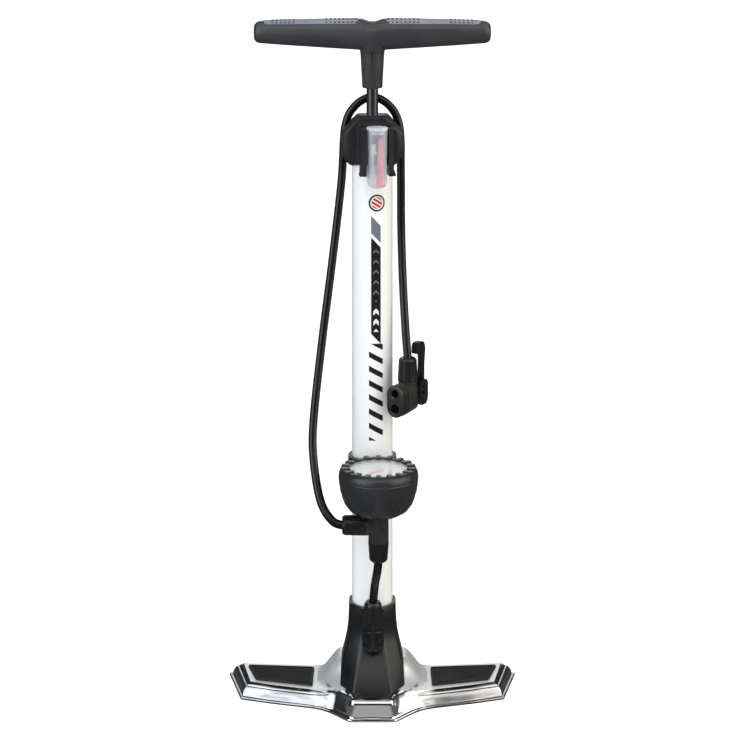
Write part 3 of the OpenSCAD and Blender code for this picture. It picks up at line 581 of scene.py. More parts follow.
def tread(side):
    """Rubber pad with a raised rim and fine ribs along its length."""
    corners = [Vector((55.5, -15.2)), Vector((109, -1.6)), Vector((118.5, 30.5)), Vector((55, 25.6))]
    base_z, rim_z, field_z = 13.62, 15.8, 15.15
    us = [0, 0.006, 0.02, 0.034, 0.042] + [0.042 + 0.916 * k / 24 for k in range(1, 24)] + [
        0.958, 0.966, 0.98, 0.994, 1]
    rib_count = 9
    vs = [(0, 0), (0.012, 0.75), (0.03, 1), (0.055, 1), (0.075, 0.1)]
    for k in range(rib_count):
        v = lerp(0.09, 0.91, (k + 0.5) / rib_count)
        vs += [(v - 0.034, 0.05), (v - 0.016, 0.5), (v + 0.016, 0.5), (v + 0.034, 0.05)]
    vs += [(0.925, 0.1), (0.945, 1), (0.97, 1), (0.988, 0.75), (1, 0)]
    rows = []
    for u in us:
        edge = min(u, 1 - u)
        pinch = 0.12 * (1 - min(edge / 0.03, 1)) ** 2
        row = []
        for j, (v, h) in enumerate(vs):
            a = corners[0].lerp(corners[1], u)
            b = corners[3].lerp(corners[2], u)
            p = a.lerp(b, lerp(v, 0.5, pinch))
            outer = h in (0, 0.75, 1)
            if edge < 0.001 or j in (0, len(vs) - 1):
                z = base_z
            elif edge < 0.007:
                z = lerp(base_z, rim_z, 0.75)
            elif edge < 0.036:
                z = lerp(base_z, rim_z, h) if j < 3 or j > len(vs) - 4 else rim_z
            else:
                z = lerp(base_z, rim_z, h) if outer else lerp(field_z - 0.15, rim_z, h)
            row.append((p.x, p.y, z))
        rows.append(row)
    verts, faces = strip(rows)
    faces.append(tuple(reversed(border(len(rows), len(rows[0])))))
    if side < 0:
        verts, faces = mirrored((verts, faces))
    name = "left" if side < 0 else "right"
    pad = obj_from(name + "_tread", verts, faces, "stand", "rubber", angle=40)
    stands_for(pad, name + "_foot_pad", "tread")


tread(-1)
tread(1)

# ---------------------------------------------------------------- collar
SOCKET = Vector((0.5, -29.5, 0))
SOCKET_R, SOCKET_TOP = 10.3, 73.0
BARREL_R = 19.0
RIM_Z = 89.0
# z, half width, front y, rear y, front half side, corner y offset from the front
SKIRT = [
    (18.8, 29.8, -44.6, 26.3, 17.6, 17.2), (22, 29.7, -43.2, 26, 17.2, 17), (28, 29.4, -40.2, 25, 16.2, 16.5),
    (36, 29.0, -35.8, 24.4, 14.6, 15.6), (43, 27.4, -31.6, 24, 13.2, 14.8),
    (51, 25.3, -27.2, 23.6, 11.4, 13.6), (58, 23.8, -24.6, 23.0, 10.2, 12.9),
    (66, 22.8, -23.0, 22.5, 9.6, 12.9), (77, 22.2, -22.1, 22.1, 9.2, 12.9),
    (RIM_Z - 1, 21.9, -21.9, 21.9, 9.1, 12.8), (RIM_Z, 21.4, -21.4, 21.4, 8.9, 12.5),
]


def collar_ring(z, w, front, rear, s, c):
    corners = [(-s, front), (s, front), (w, front + c), (w, rear - c * 0.9), (s, rear), (-s, rear),
               (-w, rear - c * 0.9), (-w, front + c)]
    return [(p.x, p.y, z) for p in rounded(corners, 3.2 if z > 40 else 1.6)]


collar = obj_from("collar", *loft([collar_ring(*row) for row in SKIRT]), "stand", "black_plastic", angle=25)
# bore for the barrel, with a round-edged rim
BORE_R = BARREL_R + 0.05
cut(collar, turned([(0, 66), (BORE_R, 66), (BORE_R, RIM_Z - 1), (BARREL_R + 1.0, RIM_Z + 0.2),
                    (BARREL_R + 1.0, 95), (0, 95)]))
socket_profile = [(0, 49.6), (4.5, 50.7), (8, 53.6), (9.9, 57.4), (SOCKET_R, 61),
                  (SOCKET_R, SOCKET_TOP - 0.8), (SOCKET_R - 0.8, SOCKET_TOP), (0, SOCKET_TOP)]
cut(collar, turned(socket_profile, 64, centre=SOCKET), "UNION")
cut(collar, rod(9.3, SOCKET_TOP - 0.01, 100, centre=SOCKET))
for s in (-1, 1):
    for k in (0, 1):
        centre = SOCKET + Vector((s * (5.9 + 2.5 * k), -9.4 + 2.6 * k, 62.5 + 0.8 * k))
        turn = Matrix.Translation(centre) @ Matrix.Rotation(math.radians(s * 16), 4, "Y")
        cut(collar, moved(block((-0.75, -2.6, -3.8), (0.75, 2.6, 3.8)), turn))
cut(collar, rod(16, 0, 40), "UNION")
shade(collar.data, 26)
stands_for(collar, "base_collar", "fitting")


# ---------------------------------------------------------------- hoses and nuts
NUT_BORE = 4.2
HOSE_R, HOSE_BORE = 3.9, 2.3


def fluted_nut(name, node, at, direction, length, r0, r1, flutes, slot_width=0.5, depth=0.7):
    """Tapered hose nut: r0 at its seat, r1 at the hose end, with shallow flutes and a bevelled end."""
    turn = Vector(direction).to_track_quat("Z", "Y").to_matrix()
    count = 144
    stations = [(0, r0 - 0.35, 0), (0.35, r0, 0), (length * 0.1, r0, 0), (length * 0.16, r0 - 0.05, 1),
                (length * 0.5, lerp(r0, r1, 0.5), 1), (length * 0.84, r1 + 0.05, 1), (length * 0.9, r1, 0),
                (length - 0.5, r1 - 1.1, 0), (length, r1 - 1.6, 0)]
    rows = []
    for z, r, fluted in stations:
        row = []
        for k in range(count):
            a = 2 * PI * k / count
            rr = r
            if fluted:
                phase = (a * flutes / (2 * PI)) % 1.0
                gap = min(phase, 1 - phase) * 2 * PI * r / flutes
                rr -= depth * max(0.0, 1 - gap / slot_width)
            row.append((rr * math.cos(a), rr * math.sin(a), z))
        rows.append(row)
    angles = [2 * PI * k / count for k in range(count)]
    inner = [[(NUT_BORE * math.cos(a), NUT_BORE * math.sin(a), z) for a in angles] for z in (length, 0)]
    verts, faces = strip(rows + inner, closed_u=True, closed_v=True)
    place = Matrix.Translation(Vector(at) * MM) @ turn.to_4x4()
    nut = obj_from(name, verts, faces, "stand", "black_plastic", angle=28, place=place)
    stands_for(nut, node, "fitting")


fluted_nut("lower_nut", "lower_hose_nut", (SOCKET.x, SOCKET.y, 73.05), (0, 0, 1), 24.95, 9.0, 8.0, 8)
GAUGE = Vector((5.5, -57, 0))
fluted_nut("gauge_nut", "upper_hose_nut", (GAUGE.x, GAUGE.y, 162.95), (0, 0, -1), 17.95, 9.3, 8.3, 6)
fluted_nut("branch_nut", "outlet_nut", (GAUGE.x - 11.5, GAUGE.y, 177.5), (-1, 0, 0), 21.5, 9.2, 8.8, 14)
# the valve head's own frame: its ports face its -Y, its hose comes in from above
CHUCK = Matrix.Translation((20.2, -35, 283.3)) @ Matrix.Rotation(math.radians(-35), 4, "Z")
HOSE_IN = CHUCK @ Vector((0, 22, 0))
fluted_nut("head_nut", "chuck_nut", (HOSE_IN.x, HOSE_IN.y, 298.35), (0, 0, 1), 21.4, 9.3, 8.4, 3,
           slot_width=0.9, depth=0.8)

SUPPLY = [(0.5, -29.5, 79), (0.5, -29.5, 89), (0.7, -30.3, 98), (2.3, -39, 117), (4.6, -52, 135),
          (5.5, -57, 147), (5.5, -57, 160)]
MAIN = [(-13.5, -57, 177.5), (-27.5, -57, 177.5), (-37.5, -55.5, 182), (-47.5, -49, 197.5), (-54, -36, 230),
        (-54.4, -25, 264), (-46.7, -10, 335), (-37.5, 0, 407), (-29, 8, 481), (-25.8, 9, 530), (-17, 9, 550),
        (0, 10.5, 559), (17, 9, 550), (25.8, 9, 530), (26.9, 9, 490), (27.1, 7.5, 444), (27.9, 3.5, 407),
        (29.4, -4, 370), (31.3, -12.5, 338), (HOSE_IN.x, HOSE_IN.y + 0.3, 319), (HOSE_IN.x, HOSE_IN.y, 306),
        (HOSE_IN.x, HOSE_IN.y, 295.6)]
for name, node, path in (("gauge_hose", "supply_hose", SUPPLY), ("long_hose", "main_hose", MAIN)):
    hose = obj_from(name, *tube(spline(path, 12), HOSE_R, HOSE_BORE, 28), "stand", "hose_rubber", angle=50)
    stands_for(hose, node, "hose")

# ---------------------------------------------------------------- gauge
HOUSING = [(0, 186.2), (8.5, 186.4), (14, 187.0), (20.5, 188.8), (26.5, 192.4), (31, 198.2), (33.2, 204),
           (34.2, 208.4), (34.8, 209.4), (35.9, 217), (36.3, 221.2), (35.9, 221.95), (33.9, 221.95),
           (33.2, 208), (28, 199), (22, 193), (0, 193)]
housing = obj_from("gauge_cup", *turned(HOUSING, 128, centre=GAUGE), "stand", "black_plastic", angle=24)
stem = turned([(0, 163), (8.9, 163), (9.2, 163.4), (9.2, 186), (10.5, 188.5), (0, 188.5)], 64, centre=GAUGE)
cut(housing, stem, "UNION")
branch = turned([(0, 0), (9.1, 0), (9.1, 11.2), (8.8, 11.5), (0, 11.5)], 64,
                centre=(GAUGE.x, GAUGE.y, 177.5), direction=(-1, 0, 0))
cut(housing, branch, "UNION")
shade(housing.data, 26)
stands_for(housing, "gauge_housing", "gloss")

LUGS = 18


def round_gauge(angle):
    return Matrix.Translation(GAUGE) @ Matrix.Rotation(angle, 4, "Z")


bezel_profile = [(29.3, 222), (36.3, 222), (36.3, 222.6), (36.15, 224.5), (35.7, 226.4), (34.8, 228.4),
                 (33.4, 229.7), (31.5, 230.2), (29, 230.1), (27.4, 229.7), (27.1, 229.2), (27.1, 228.9),
                 (29.3, 228.9)]
bezel = obj_from("gauge_ring", *lathe(bezel_profile, 144, centre=GAUGE), "stand", "black_plastic", angle=26)
for k in range(LUGS):
    lug = block((26.2, -2.2, 228.95), (33.8, 2.2, 231.0))
    cut(bezel, moved(lug, round_gauge(2 * PI * (k + 0.5) / LUGS)), "UNION")
for k in range(0, LUGS, 2):
    for s in (-1, 1):
        place = round_gauge(2 * PI * (k + 0.2 * s) / LUGS) @ Matrix.Translation((36.45, 0, 0))
        cut(bezel, moved(rod(0.55, 222.8, 234, 10), place))
soften(bezel, 0.35, 2, 40)
stands_for(bezel, "gauge_bezel", "gloss")

# printed scale on the dial
DIAL_Z = 225.8
FULL_SCALE = 160


def dial_angle(value):
    return math.radians(225 - 270 * value / FULL_SCALE)


def dial_print():
    parts, red_parts = [], []
    z0, z1 = DIAL_Z + 0.01, DIAL_Z + 0.06
    for value in range(0, FULL_SCALE + 1, 5):
        r0, half = (20.8, 0.14) if value % 20 else (19.2, 0.28)
        bar = block((r0, -half, z0), (23.4, half, z1))
        parts.append(moved(bar, round_gauge(dial_angle(value))))
    ring = [(23.4, z0), (23.8, z0), (23.8, z1), (23.4, z1)]
    parts.append(lathe(ring, 80, centre=GAUGE, sweep=math.radians(270), start=math.radians(-45)))
    red_ring = [(9.4, z0), (13.0, z0), (13.0, z1), (9.4, z1)]
    for start, span in ((-45, 80), (60, 60)):
        red_parts.append(lathe(red_ring, 40, centre=GAUGE, sweep=math.radians(span),
                               start=math.radians(start)))
    return merged(*parts), merged(*red_parts)


black_print, red_print = dial_print()
paint(obj_from("dial_scale", *black_print, "stand", "dial_white"), "ink")
paint(obj_from("dial_bands", *red_print, "stand", "dial_white"), "red")
for value in range(0, FULL_SCALE + 1, 20):
    a = dial_angle(value)
    curve = bpy.data.curves.new("number", "FONT")
    curve.body, curve.size, curve.extrude = str(value), 3.4 * MM, 0.02 * MM
    curve.align_x, curve.align_y = "CENTER", "CENTER"
    text = bpy.data.objects.new("dial_number_%d" % value, curve)
    bpy.context.scene.collection.objects.link(text)
    text.location = Vector((GAUGE.x + 16.6 * math.cos(a), GAUGE.y + 16.6 * math.sin(a), DIAL_Z + 0.04)) * MM
    bpy.context.view_layer.update()
    mesh = bpy.data.meshes.new_from_object(text.evaluated_get(bpy.context.evaluated_depsgraph_get()))
    mesh.transform(text.matrix_world)
    bpy.data.objects.remove(text)
    number = bpy.data.objects.new("dial_number_%d" % value, mesh)
    bpy.context.scene.collection.objects.link(number)
    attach(number, "stand")
    paint(number, "ink")

# ---------------------------------------------------------------- top cap
CAP = [(14, 543.8), (17.2, 540.6), (22.5, 535.4), (28, 529.6), (29.6, 526), (29.6, 511), (26.4, 503.6),
       (23.4, 500), (20.5, 497.4)]
cap_outline = [(-x, z) for x, z in CAP[::-1]] + CAP
CAP_HALF, CAP_MID, CAP_RISE = 29.6, 520.5, 60    # half width, middle height, and how slowly the height tapers


def cap_rings():
    rings, ring = [], rounded(cap_outline, 2.2)
    for y, inset in ((-16.5, 5.2), (-16.0, 4.2), (-12.6, 0.6), (-11.8, 0.0), (12, 0.0), (17, 2.2),
                     (22.4, 6.0), (23, 7.0)):
        sx, sz = 1 - inset / CAP_HALF, 1 - inset / CAP_RISE
        rings.append([(p.x * sx, y, CAP_MID + (p.y - CAP_MID) * sz) for p in ring])
    return rings


cap = obj_from("cap", *loft(cap_rings()), "stand", "black_plastic", angle=24)
TURN = Matrix.Rotation(math.radians(7), 4, "Z")
panel = [(-15.2, -24.6), (15.2, -24.6), (17.2, -21.5), (17.2, -10), (-17.2, -10), (-17.2, -21.5)]
cut(cap, moved(extrude(panel, 499.6, 538.6), TURN), "UNION")
cut(cap, moved(block((-14.2, -26, 499), (14.2, -23.2, 535.4)), TURN))
cut(cap, turned([(0, 490), (BORE_R, 490), (BORE_R, 512), (7.55, 512), (7.55, 560), (0, 560)]))
for s in (-1, 1):
    groove = loft([[(s * 26.4 + 6.9 * math.cos(a), 9 + 6.9 * math.sin(a), z)
                    for a in [-PI + PI * k / 16 for k in range(17)]]
                   + [(s * 26.4 + 6.9, 40, z), (s * 26.4 - 6.9, 40, z)] for z in (480, 570)])
    cut(cap, groove)
soften(cap, 0.7, 3, 28)
stands_for(cap, "top_cap", "charcoal")

# ---------------------------------------------------------------- vial and its holder
VIAL = Vector((0, -36.2, 0))
holder_parts = []
for s in (-1, 1):
    leg = [(10.3, -42.4), (14.4, -42.4), (15, -41.6), (15, -24), (10.3, -24)]
    foot = [(10.3, -42.4), (15.6, -42.4), (16.6, -41.4), (16.6, -33.4), (10.3, -33.4)]
    foot_part = loft([[(lerp(12, x, g) if x > 12 else x, y, z) for x, y in foot]
                      for z, g in ((491.5, 1), (493.9, 1), (497, 0.72))])
    for q in (extrude(leg, 491.5, 535), foot_part):
        holder_parts.append(mirrored(q) if s < 0 else q)
holder_parts.append(block((-14.4, -27.2, 500.5), (14.4, -23.4, 535)))
holder = obj_from("vial_clip", *moved(holder_parts[0], TURN), "stand", "black_plastic", angle=24)
for part in holder_parts[1:]:
    cut(holder, moved(part, TURN), "UNION")
cut(holder, moved(rod(10.15, 470, 545, centre=VIAL), TURN))
soften(holder, 0.45, 2, 30)
stands_for(holder, "vial_holder", "charcoal")

vial_profile = [(0, 480.2), (5.2, 480.3), (7.6, 481.4), (8.7, 483.6), (9.1, 487), (9.75, 531.6), (9.8, 532.9),
                (8.2, 532.9), (7.9, 487), (7.2, 483), (0, 481.4)]
vial = obj_from("vial_shell", *moved(turned(vial_profile, 72, centre=VIAL), TURN), "vial", "clear_vial",
                angle=40)
stands_for(vial, "vial_body", "vial")
lid_profile = [(0, 536.1), (9.4, 536.1), (9.95, 535.7), (9.95, 533.2), (9.6, 533.05), (7.6, 533.05),
               (7.6, 529.6), (6.6, 529.6), (6.6, 533.6), (0, 533.6)]
lid = obj_from("vial_cover", *moved(turned(lid_profile, 72, centre=VIAL), TURN), "vial", "clear_vial",
               angle=40)
tab = [(-3.4, -46), (-2.6, -48.6), (2.6, -48.6), (3.4, -46), (3.6, -44), (-3.6, -44)]
cut(lid, moved(extrude(tab, 533.6, 535.6), TURN), "UNION")
soften(lid, 0.25, 2, 35)
stands_for(lid, "vial_lid", "lid")
needle_profile = [(0, 481.7), (0.5, 481.8), (0.95, 482.6), (0.95, 509.6), (1.6, 510.6), (3.1, 511.0),
                  (3.4, 511.4), (3.4, 512.8), (3.1, 513.2), (2.3, 513.5), (2.6, 514.0), (2.3, 514.6),
                  (2.6, 515.2), (2.3, 515.8), (2.6, 516.4), (2.3, 517.0), (2.6, 517.6), (2.4, 518.2),
                  (2.6, 518.8), (2.5, 520.1), (1.9, 520.6), (0, 520.6)]
needle = obj_from("ball_pin", *moved(turned(needle_profile, 24, centre=(-3.9, VIAL.y, 0)), TURN), "vial",
                  "steel", angle=35)
stands_for(needle, "ball_needle", "silver")
cone_profile = [(0, 481.7), (3.9, 481.7), (4.2, 482.1), (4.1, 485.6), (3.85, 486), (3.7, 495), (3.45, 495.4),
                (3.6, 496), (3.2, 506), (2.95, 506.4), (3.1, 507), (2.6, 518), (2.35, 518.4), (2.45, 519),
                (2.2, 525), (1.7, 525.6), (0, 525.6)]
cone = obj_from("cone_tip", *moved(turned(cone_profile, 32, centre=(3.3, VIAL.y, 0)), TURN), "vial",
                "red_plastic", angle=35)
stands_for(cone, "cone_adapter", "pink")

# ---------------------------------------------------------------- handle
TIP_X = 112.0
SWEEP_BACK = 16.0    # how far the arms' tips sit behind the middle
MID_HALF = 14.6      # half depth of the bar in the middle
HANDLE = [
    # x, half depth, low, high, roundness
    (0, 14.6, 604.2, 631.0), (3, 14.6, 604.2, 631.1), (9.5, 14.6, 604.4, 633.4), (13, 14.5, 604.6, 633.4),
    (40, 13.9, 605.9, 632.9), (75, 13.1, 607.7, 631.9), (100, 12.4, 609.2, 631.0), (107, 12.0, 609.7, 630.4),
    (110, 11.0, 610.9, 629.1), (111.6, 9.0, 613.0, 627.0), (112, 6.5, 615.5, 624.5),
]


def handle_section(x, half, low, high):
    """Section with a flat front, a sloping shoulder on top and round corners."""
    h = high - low
    y0 = SWEEP_BACK * abs(x) / TIP_X
    k = half / MID_HALF
    corners = [(-half + 1.2 * k, low + h * 0.16), (-half, low + h * 0.42), (-half + 0.5 * k, low + h * 0.70),
               (-half + 5.6 * k, high - h * 0.03), (-half + 9.5 * k, high), (half - 9.5 * k, high),
               (half - 5.6 * k, high - h * 0.03), (half - 0.5 * k, low + h * 0.70), (half, low + h * 0.42),
               (half - 1.2 * k, low + h * 0.16), (half - 6.5 * k, low), (-half + 6.5 * k, low)]
    return [(x, y0 + p.x, p.y) for p in rounded(corners, 2.6 * k)]


def handle_at(x):
    x = abs(x)
    for a, b in zip(HANDLE, HANDLE[1:]):
        if x <= b[0]:
            t = (x - a[0]) / (b[0] - a[0])
            return [lerp(p, q, t) for p, q in zip(a[1:], b[1:])]
    return list(HANDLE[-1][1:])


stations = [0, 1.5, 3, 4, 6, 8, 9.5, 10.5, 12, 16, 22, 30, 40, 50, 62, 75, 88, 100, 104, 107, 108.6, 110,
            110.9, 111.6, 111.9, 112]
xs = [-x for x in stations[::-1]] + stations[1:]
handle = obj_from("handle_bar", *loft([handle_section(x, *handle_at(x)) for x in xs]), "handle",
                  "handle_plastic", angle=40)
stem_profile = [(0, 568.6), (8.6, 568.6), (9.4, 569.2), (9.6, 570.4), (11.1, 599), (11.6, 603), (13.4, 607.5),
                (13.4, 612), (0, 612)]
cut(handle, turned(stem_profile, 64), "UNION")
cut(handle, rod(5.52, 560, 612.1))
cut(handle, block((-0.9, -14, 581), (0.9, -9.9, 603)))
shade(handle.data, 34)
stands_for(handle, "handle_body", "handle")


def grip(side):
    """Soft inlay along the top of one arm, standing slightly proud, with rows of small dots."""
    x0, x1 = 12.5, 103.0
    n, m = 60, 22            # steps along the inlay and across it
    rows = []
    for i in range(n + 1):
        t = i / n
        x = lerp(x0, x1, t)
        half, low, high = handle_at(x)
        section = handle_section(x, half, low, high)
        pts = [Vector(p) for p in section]
        reach = half - 2.9 * half / MID_HALF
        front_y, rear_y = SWEEP_BACK * x / TIP_X - reach, SWEEP_BACK * x / TIP_X + reach
        end = min(t, 1 - t) * n / 3.0
        narrow = 1 - (1 - min(end, 1)) ** 2
        mid = (front_y + rear_y) / 2
        row = []
        for j in range(m + 1):
            s = -1 + 2 * j / m
            y = mid + s * (rear_y - front_y) / 2 * lerp(0.86, 1.0, narrow)
            z = surface_z(pts, y)
            rim = min(1.0, (1 - abs(s)) * 9, end * 1.5)
            row.append((x, y, z - 0.35 + 0.75 * math.sqrt(max(rim, 0))))
        rows.append(row)
    under = [[(x, y, z - 1.2) for x, y, z in row] for row in rows]
    verts, faces = strip(rows)
    base = len(verts)
    verts, faces = merged((verts, faces), strip(under, flip=True))
    edge = border(n + 1, m + 1)
    for a, b in zip(edge, edge[1:] + edge[:1]):
        faces.append((a, base + a, base + b, b))
    inlay = (verts, faces)
    dots = []
    for places in (range(15, 46, 4), range(74, 98, 4)):
        for x in places:
            half, low, high = handle_at(x)
            pts = [Vector(p) for p in handle_section(x, half, low, high)]
            for j in range(5):
                y = SWEEP_BACK * x / TIP_X - half * (0.70 - 0.24 * j)
                z = surface_z(pts, y) + 0.3
                dots.append(turned([(1.0, z - 0.5), (1.0, z + 0.1), (0.7, z + 0.3), (0, z + 0.36)], 10,
                                   centre=(x, y, 0)))
    dots = merged(*dots)
    if side < 0:
        inlay, dots = mirrored(inlay), mirrored(dots)
    name = "left" if side < 0 else "right"
    inlay = obj_from(name + "_inlay", *inlay, "handle", "grip_rubber", angle=50)
    stands_for(inlay, name + "_grip", "grip")
    paint(obj_from(name + "_dots", *dots, "handle", "grip_rubber", angle=50), "rubber")


def surface_z(pts, y):
    """Height of the upper side of a closed section at y."""
    best = None
    for a, b in zip(pts, pts[1:] + pts[:1]):
        lo, hi = sorted((a.y, b.y))
        if lo - 1e-9 <= y <= hi + 1e-9 and hi - lo > 1e-9:
            z = lerp(a.z, b.z, (y - a.y) / (b.y - a.y))
            best = z if best is None else max(best, z)
    return best if best is not None else max(p.z for p in pts) - 6


grip(-1)
grip(1)

# ---------------------------------------------------------------- chuck
PORT = 6.9               # height of each port above or below the middle
PIN = dict(centre=(0, 36, -4), direction=(1, 0, 0))    # the lever's pivot


def oval(y, r, half):
    """Upright stadium ring at depth y."""
    pts = []
    for start, middle in ((0, half), (PI, -half)):
        for k in range(17):
            a = start + PI * k / 16
            pts.append((r * math.cos(a), y, middle + r * math.sin(a)))
    return pts


body_rows = [(0.0, 7.4, 6.0), (0.25, 8.2, 6.0), (0.9, 8.75, 6.0), (1.6, 8.9, 6.0), (3.0, 8.9, 6.0)]
y = 3.0
for k in range(3):
    y += 0.5
    body_rows += [(y, 8.9, 6), (y + 0.45, 7.8, 5.8), (y + 1.15, 7.8, 5.8), (y + 1.6, 8.85, 6)]
    y += 2.3
body_rows += [(12.5, 8.8, 6.0), (18, 8.2, 6.0), (24, 7.7, 6.0), (29, 7.2, 6.0), (30, 6.4, 6.0)]
head = obj_from("head_body", *moved(loft([oval(*r) for r in body_rows]), CHUCK), "stand", "black_plastic",
                angle=24)
for z, r in ((PORT, 3.7), (-PORT, 4.5)):
    pocket = [(0, -2), (r + 0.9, -2), (r + 0.9, 0.0), (r, 0.7), (r, 2), (5.95, 2), (5.95, 19.2), (0, 19.2)]
    cut(head, moved(turned(pocket, 48, centre=(0, 0, z), direction=(0, 1, 0)), CHUCK))
cut(head, moved(block((-3.5, 12, -PORT), (3.5, 19.2, PORT)), CHUCK))
cut(head, moved(rod(2.35, 18, 34, 32, centre=(0, 0, -4), direction=(0, 1, 0)), CHUCK))
boss = turned([(0, 4), (8.4, 4), (8.6, 12), (8.9, 14.6), (8.6, 14.95), (0, 14.95)], 48, centre=(0, 22, 0))
cut(head, moved(boss, CHUCK), "UNION")
for x in (-6.6, 3.1):
    ear = rod(3.6, 0, 3.5, 40, centre=(x, 36, -4), direction=(1, 0, 0))
    cut(head, moved(ear, CHUCK), "UNION")
    cut(head, moved(block((x, 26, -7.6), (x + 3.5, 36, -0.4)), CHUCK), "UNION")
cut(head, moved(rod(1.55, -12, 12, 32, **PIN), CHUCK))
shade(head.data, 30)
stands_for(head, "chuck_body", "chuck")

CHEEK_IN, CHEEK_OUT = 7.6, 9.4
cheek = rounded([(29, -8.5), (39.4, -8.5), (42.2, -4), (42.2, 12), (39, 15), (29.4, 13.4)], 3.2, 4)
back = [(40.1, -5), (42.1, -4), (42.1, 12), (40.1, 14)]
arm = [(40.8, 4), (44.6, 4), (46.2, 9), (46.2, 26), (48, 41), (46.4, 46), (44, 48), (36, 48.2), (33, 46.8),
       (32.2, 43.8), (32.6, 37.6), (36.4, 37.2), (37.2, 40.8), (39.8, 41.8), (42.6, 39.6), (42.8, 26),
       (42, 14)]
lever_parts = [
    across(cheek, -CHEEK_OUT, -CHEEK_IN), across(cheek, CHEEK_IN, CHEEK_OUT),
    across(back, -CHEEK_OUT + 0.1, CHEEK_OUT - 0.1), across(rounded(arm, 1.8), -2.7, 2.7),
    block((-2.6, 36, -5), (2.6, 41, -1)), rod(3, 0, 5.2, 32, centre=(-2.6, 36, -4), direction=(1, 0, 0)),
]
lever = obj_from("head_lever", *moved(lever_parts[0], CHUCK), "lever", "black_plastic", angle=30)
for part in lever_parts[1:]:
    cut(lever, moved(part, CHUCK), "UNION")
for k in (0, 1):
    z0 = 0.8 + 5.8 * k
    slot = rounded([(33.2, z0), (36, z0), (36, z0 + 3.4), (33.2, z0 + 3.4)], 1.0)
    cut(lever, moved(across(slot, -14, 14), CHUCK))
cut(lever, moved(rod(1.55, -12, 12, 32, **PIN), CHUCK))
soften(lever, 0.5, 2, 35)
stands_for(lever, "chuck_lever", "fitting")


# ---------------------------------------------------------------- barrel paint
def barrel_material():
    """Gloss white paint with slanted stripe graphics printed round the front."""
    m = Nodes("barrel_paint")
    x, y, z = m.axes(m.coord)
    arc = m.mul(m.math("ARCTAN2", x, m.mul(y, -1.0)), BARREL_R)
    up = m.mul(z, 1000.0)

    def between(value, lo, hi, soft=0.12):
        return m.mul(m.ramp(value, lo - soft, lo + soft), m.ramp(value, hi - soft, hi + soft, 1.0, 0.0))

    def slanted(lo_z, hi_z, lo_s, hi_s, slope):
        shifted = m.add(up, m.mul(arc, slope))
        return m.mul(between(shifted, lo_z, hi_z), between(arc, lo_s, hi_s))

    cloud = m.noise(16, 4)
    tone = m.mix(cloud, rgb("f6f7f6"), rgb("fcfcfa"))

    def print_on(mask, colour):
        nonlocal tone
        tone = m.mix(mask, tone, rgb(colour))

    # grey block and long black strip with slanted ends
    print_on(slanted(434.5, 450.5, -1.2, 8.0, 1.05), "6e7680")
    print_on(slanted(341.0, 430.5, -1.2, 8.0, 1.05), "191a1c")
    # fine grey chevrons inside the strip
    fold = m.size(m.mul(m.math("SUBTRACT", arc, 3.4), 1.1))
    wave = m.math("FRACT", m.math("DIVIDE", m.add(up, fold), 9.5))
    chevrons = m.mul(between(wave, 0.1, 0.3, 0.02), m.mul(between(up, 372, 420), between(arc, 0.9, 6.0)))
    print_on(m.mul(chevrons, 0.8), "777c84")
    whites = m.mul(between(wave, 0.1, 0.5, 0.02), m.mul(between(up, 344, 366), between(arc, 0.9, 6.0)))
    print_on(whites, "f2f2f0")
    # seven bold slanted bars below
    step = m.math("DIVIDE", m.add(up, m.mul(arc, 0.55)), 13.2)
    bars = m.mul(between(up, 243, 333), between(arc, -3.2, 10.2))
    print_on(m.mul(between(m.math("FRACT", step), 0.16, 0.56, 0.01), bars), "1c1d1f")
    # round badge: dark ring, pale ground and three slanted red bars
    dx, dz = m.math("SUBTRACT", arc, 4.4), m.math("SUBTRACT", up, 463.5)
    radius = m.math("SQRT", m.add(m.math("POWER", dx, 2.0), m.math("POWER", dz, 2.0)))
    print_on(m.ramp(radius, 7.85, 8.1, 1.0, 0.0), "2a2b2d")
    print_on(m.ramp(radius, 6.2, 6.45, 1.0, 0.0), "e9e9e6")
    rays = m.math("FRACT", m.math("DIVIDE", m.add(dz, m.mul(dx, 0.6)), 3.9))
    print_on(m.mul(between(rays, 0.2, 0.78, 0.03), m.ramp(radius, 5.2, 5.4, 1.0, 0.0)), "cf2436")
    marks = m.ramp(m.noise(120, 8, (1, 1, 0.12)), 0.6, 0.7, 0.0, 0.05)
    m.set(colour=tone, rough=m.add(m.ramp(cloud, 0.3, 0.7, 0.16, 0.22), marks), coat=0.55,
          coat_rough=0.05, normal=m.bump(0.04, 0.0004, m.noise(130, 2)))
    return m.mat


def dial_material():
    m = Nodes("dial_face")
    cloud = m.noise(90, 3)
    m.set(colour=m.mix(cloud, rgb("eceef0"), rgb("f6f6f6")), rough=m.ramp(cloud, 0.3, 0.7, 0.4, 0.5),
          normal=m.bump(0.05, 0.0002, m.noise(900, 2)))
    return m.mat


KEPT = {
    "base_screws": "steel", "barrel": barrel_material(), "barrel_seal": "rubber", "valve_seat": "brass",
    "check_ball": "steel", "check_spring": "steel", "gauge_clip": "plastic", "gauge_lens": "lens",
    "gauge_dial": dial_material(), "bourdon_tube": "brass", "movement_frame": "brass", "sector_gear": "brass",
    "needle_pinion": "brass", "gauge_needle": "red", "hose_barbs": "brass", "rod_bushing": "gloss",
    "piston_rod": "rod", "piston_head": "nylon", "piston_seal": "leather", "piston_washer": "steel",
    "piston_nut": "steel", "presta_seal": "rubber", "schrader_seal": "rubber", "chuck_plunger": "nylon",
    "chuck_pin": "steel",
}
for node_name, key in KEPT.items():
    paint(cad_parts[node_name], key)

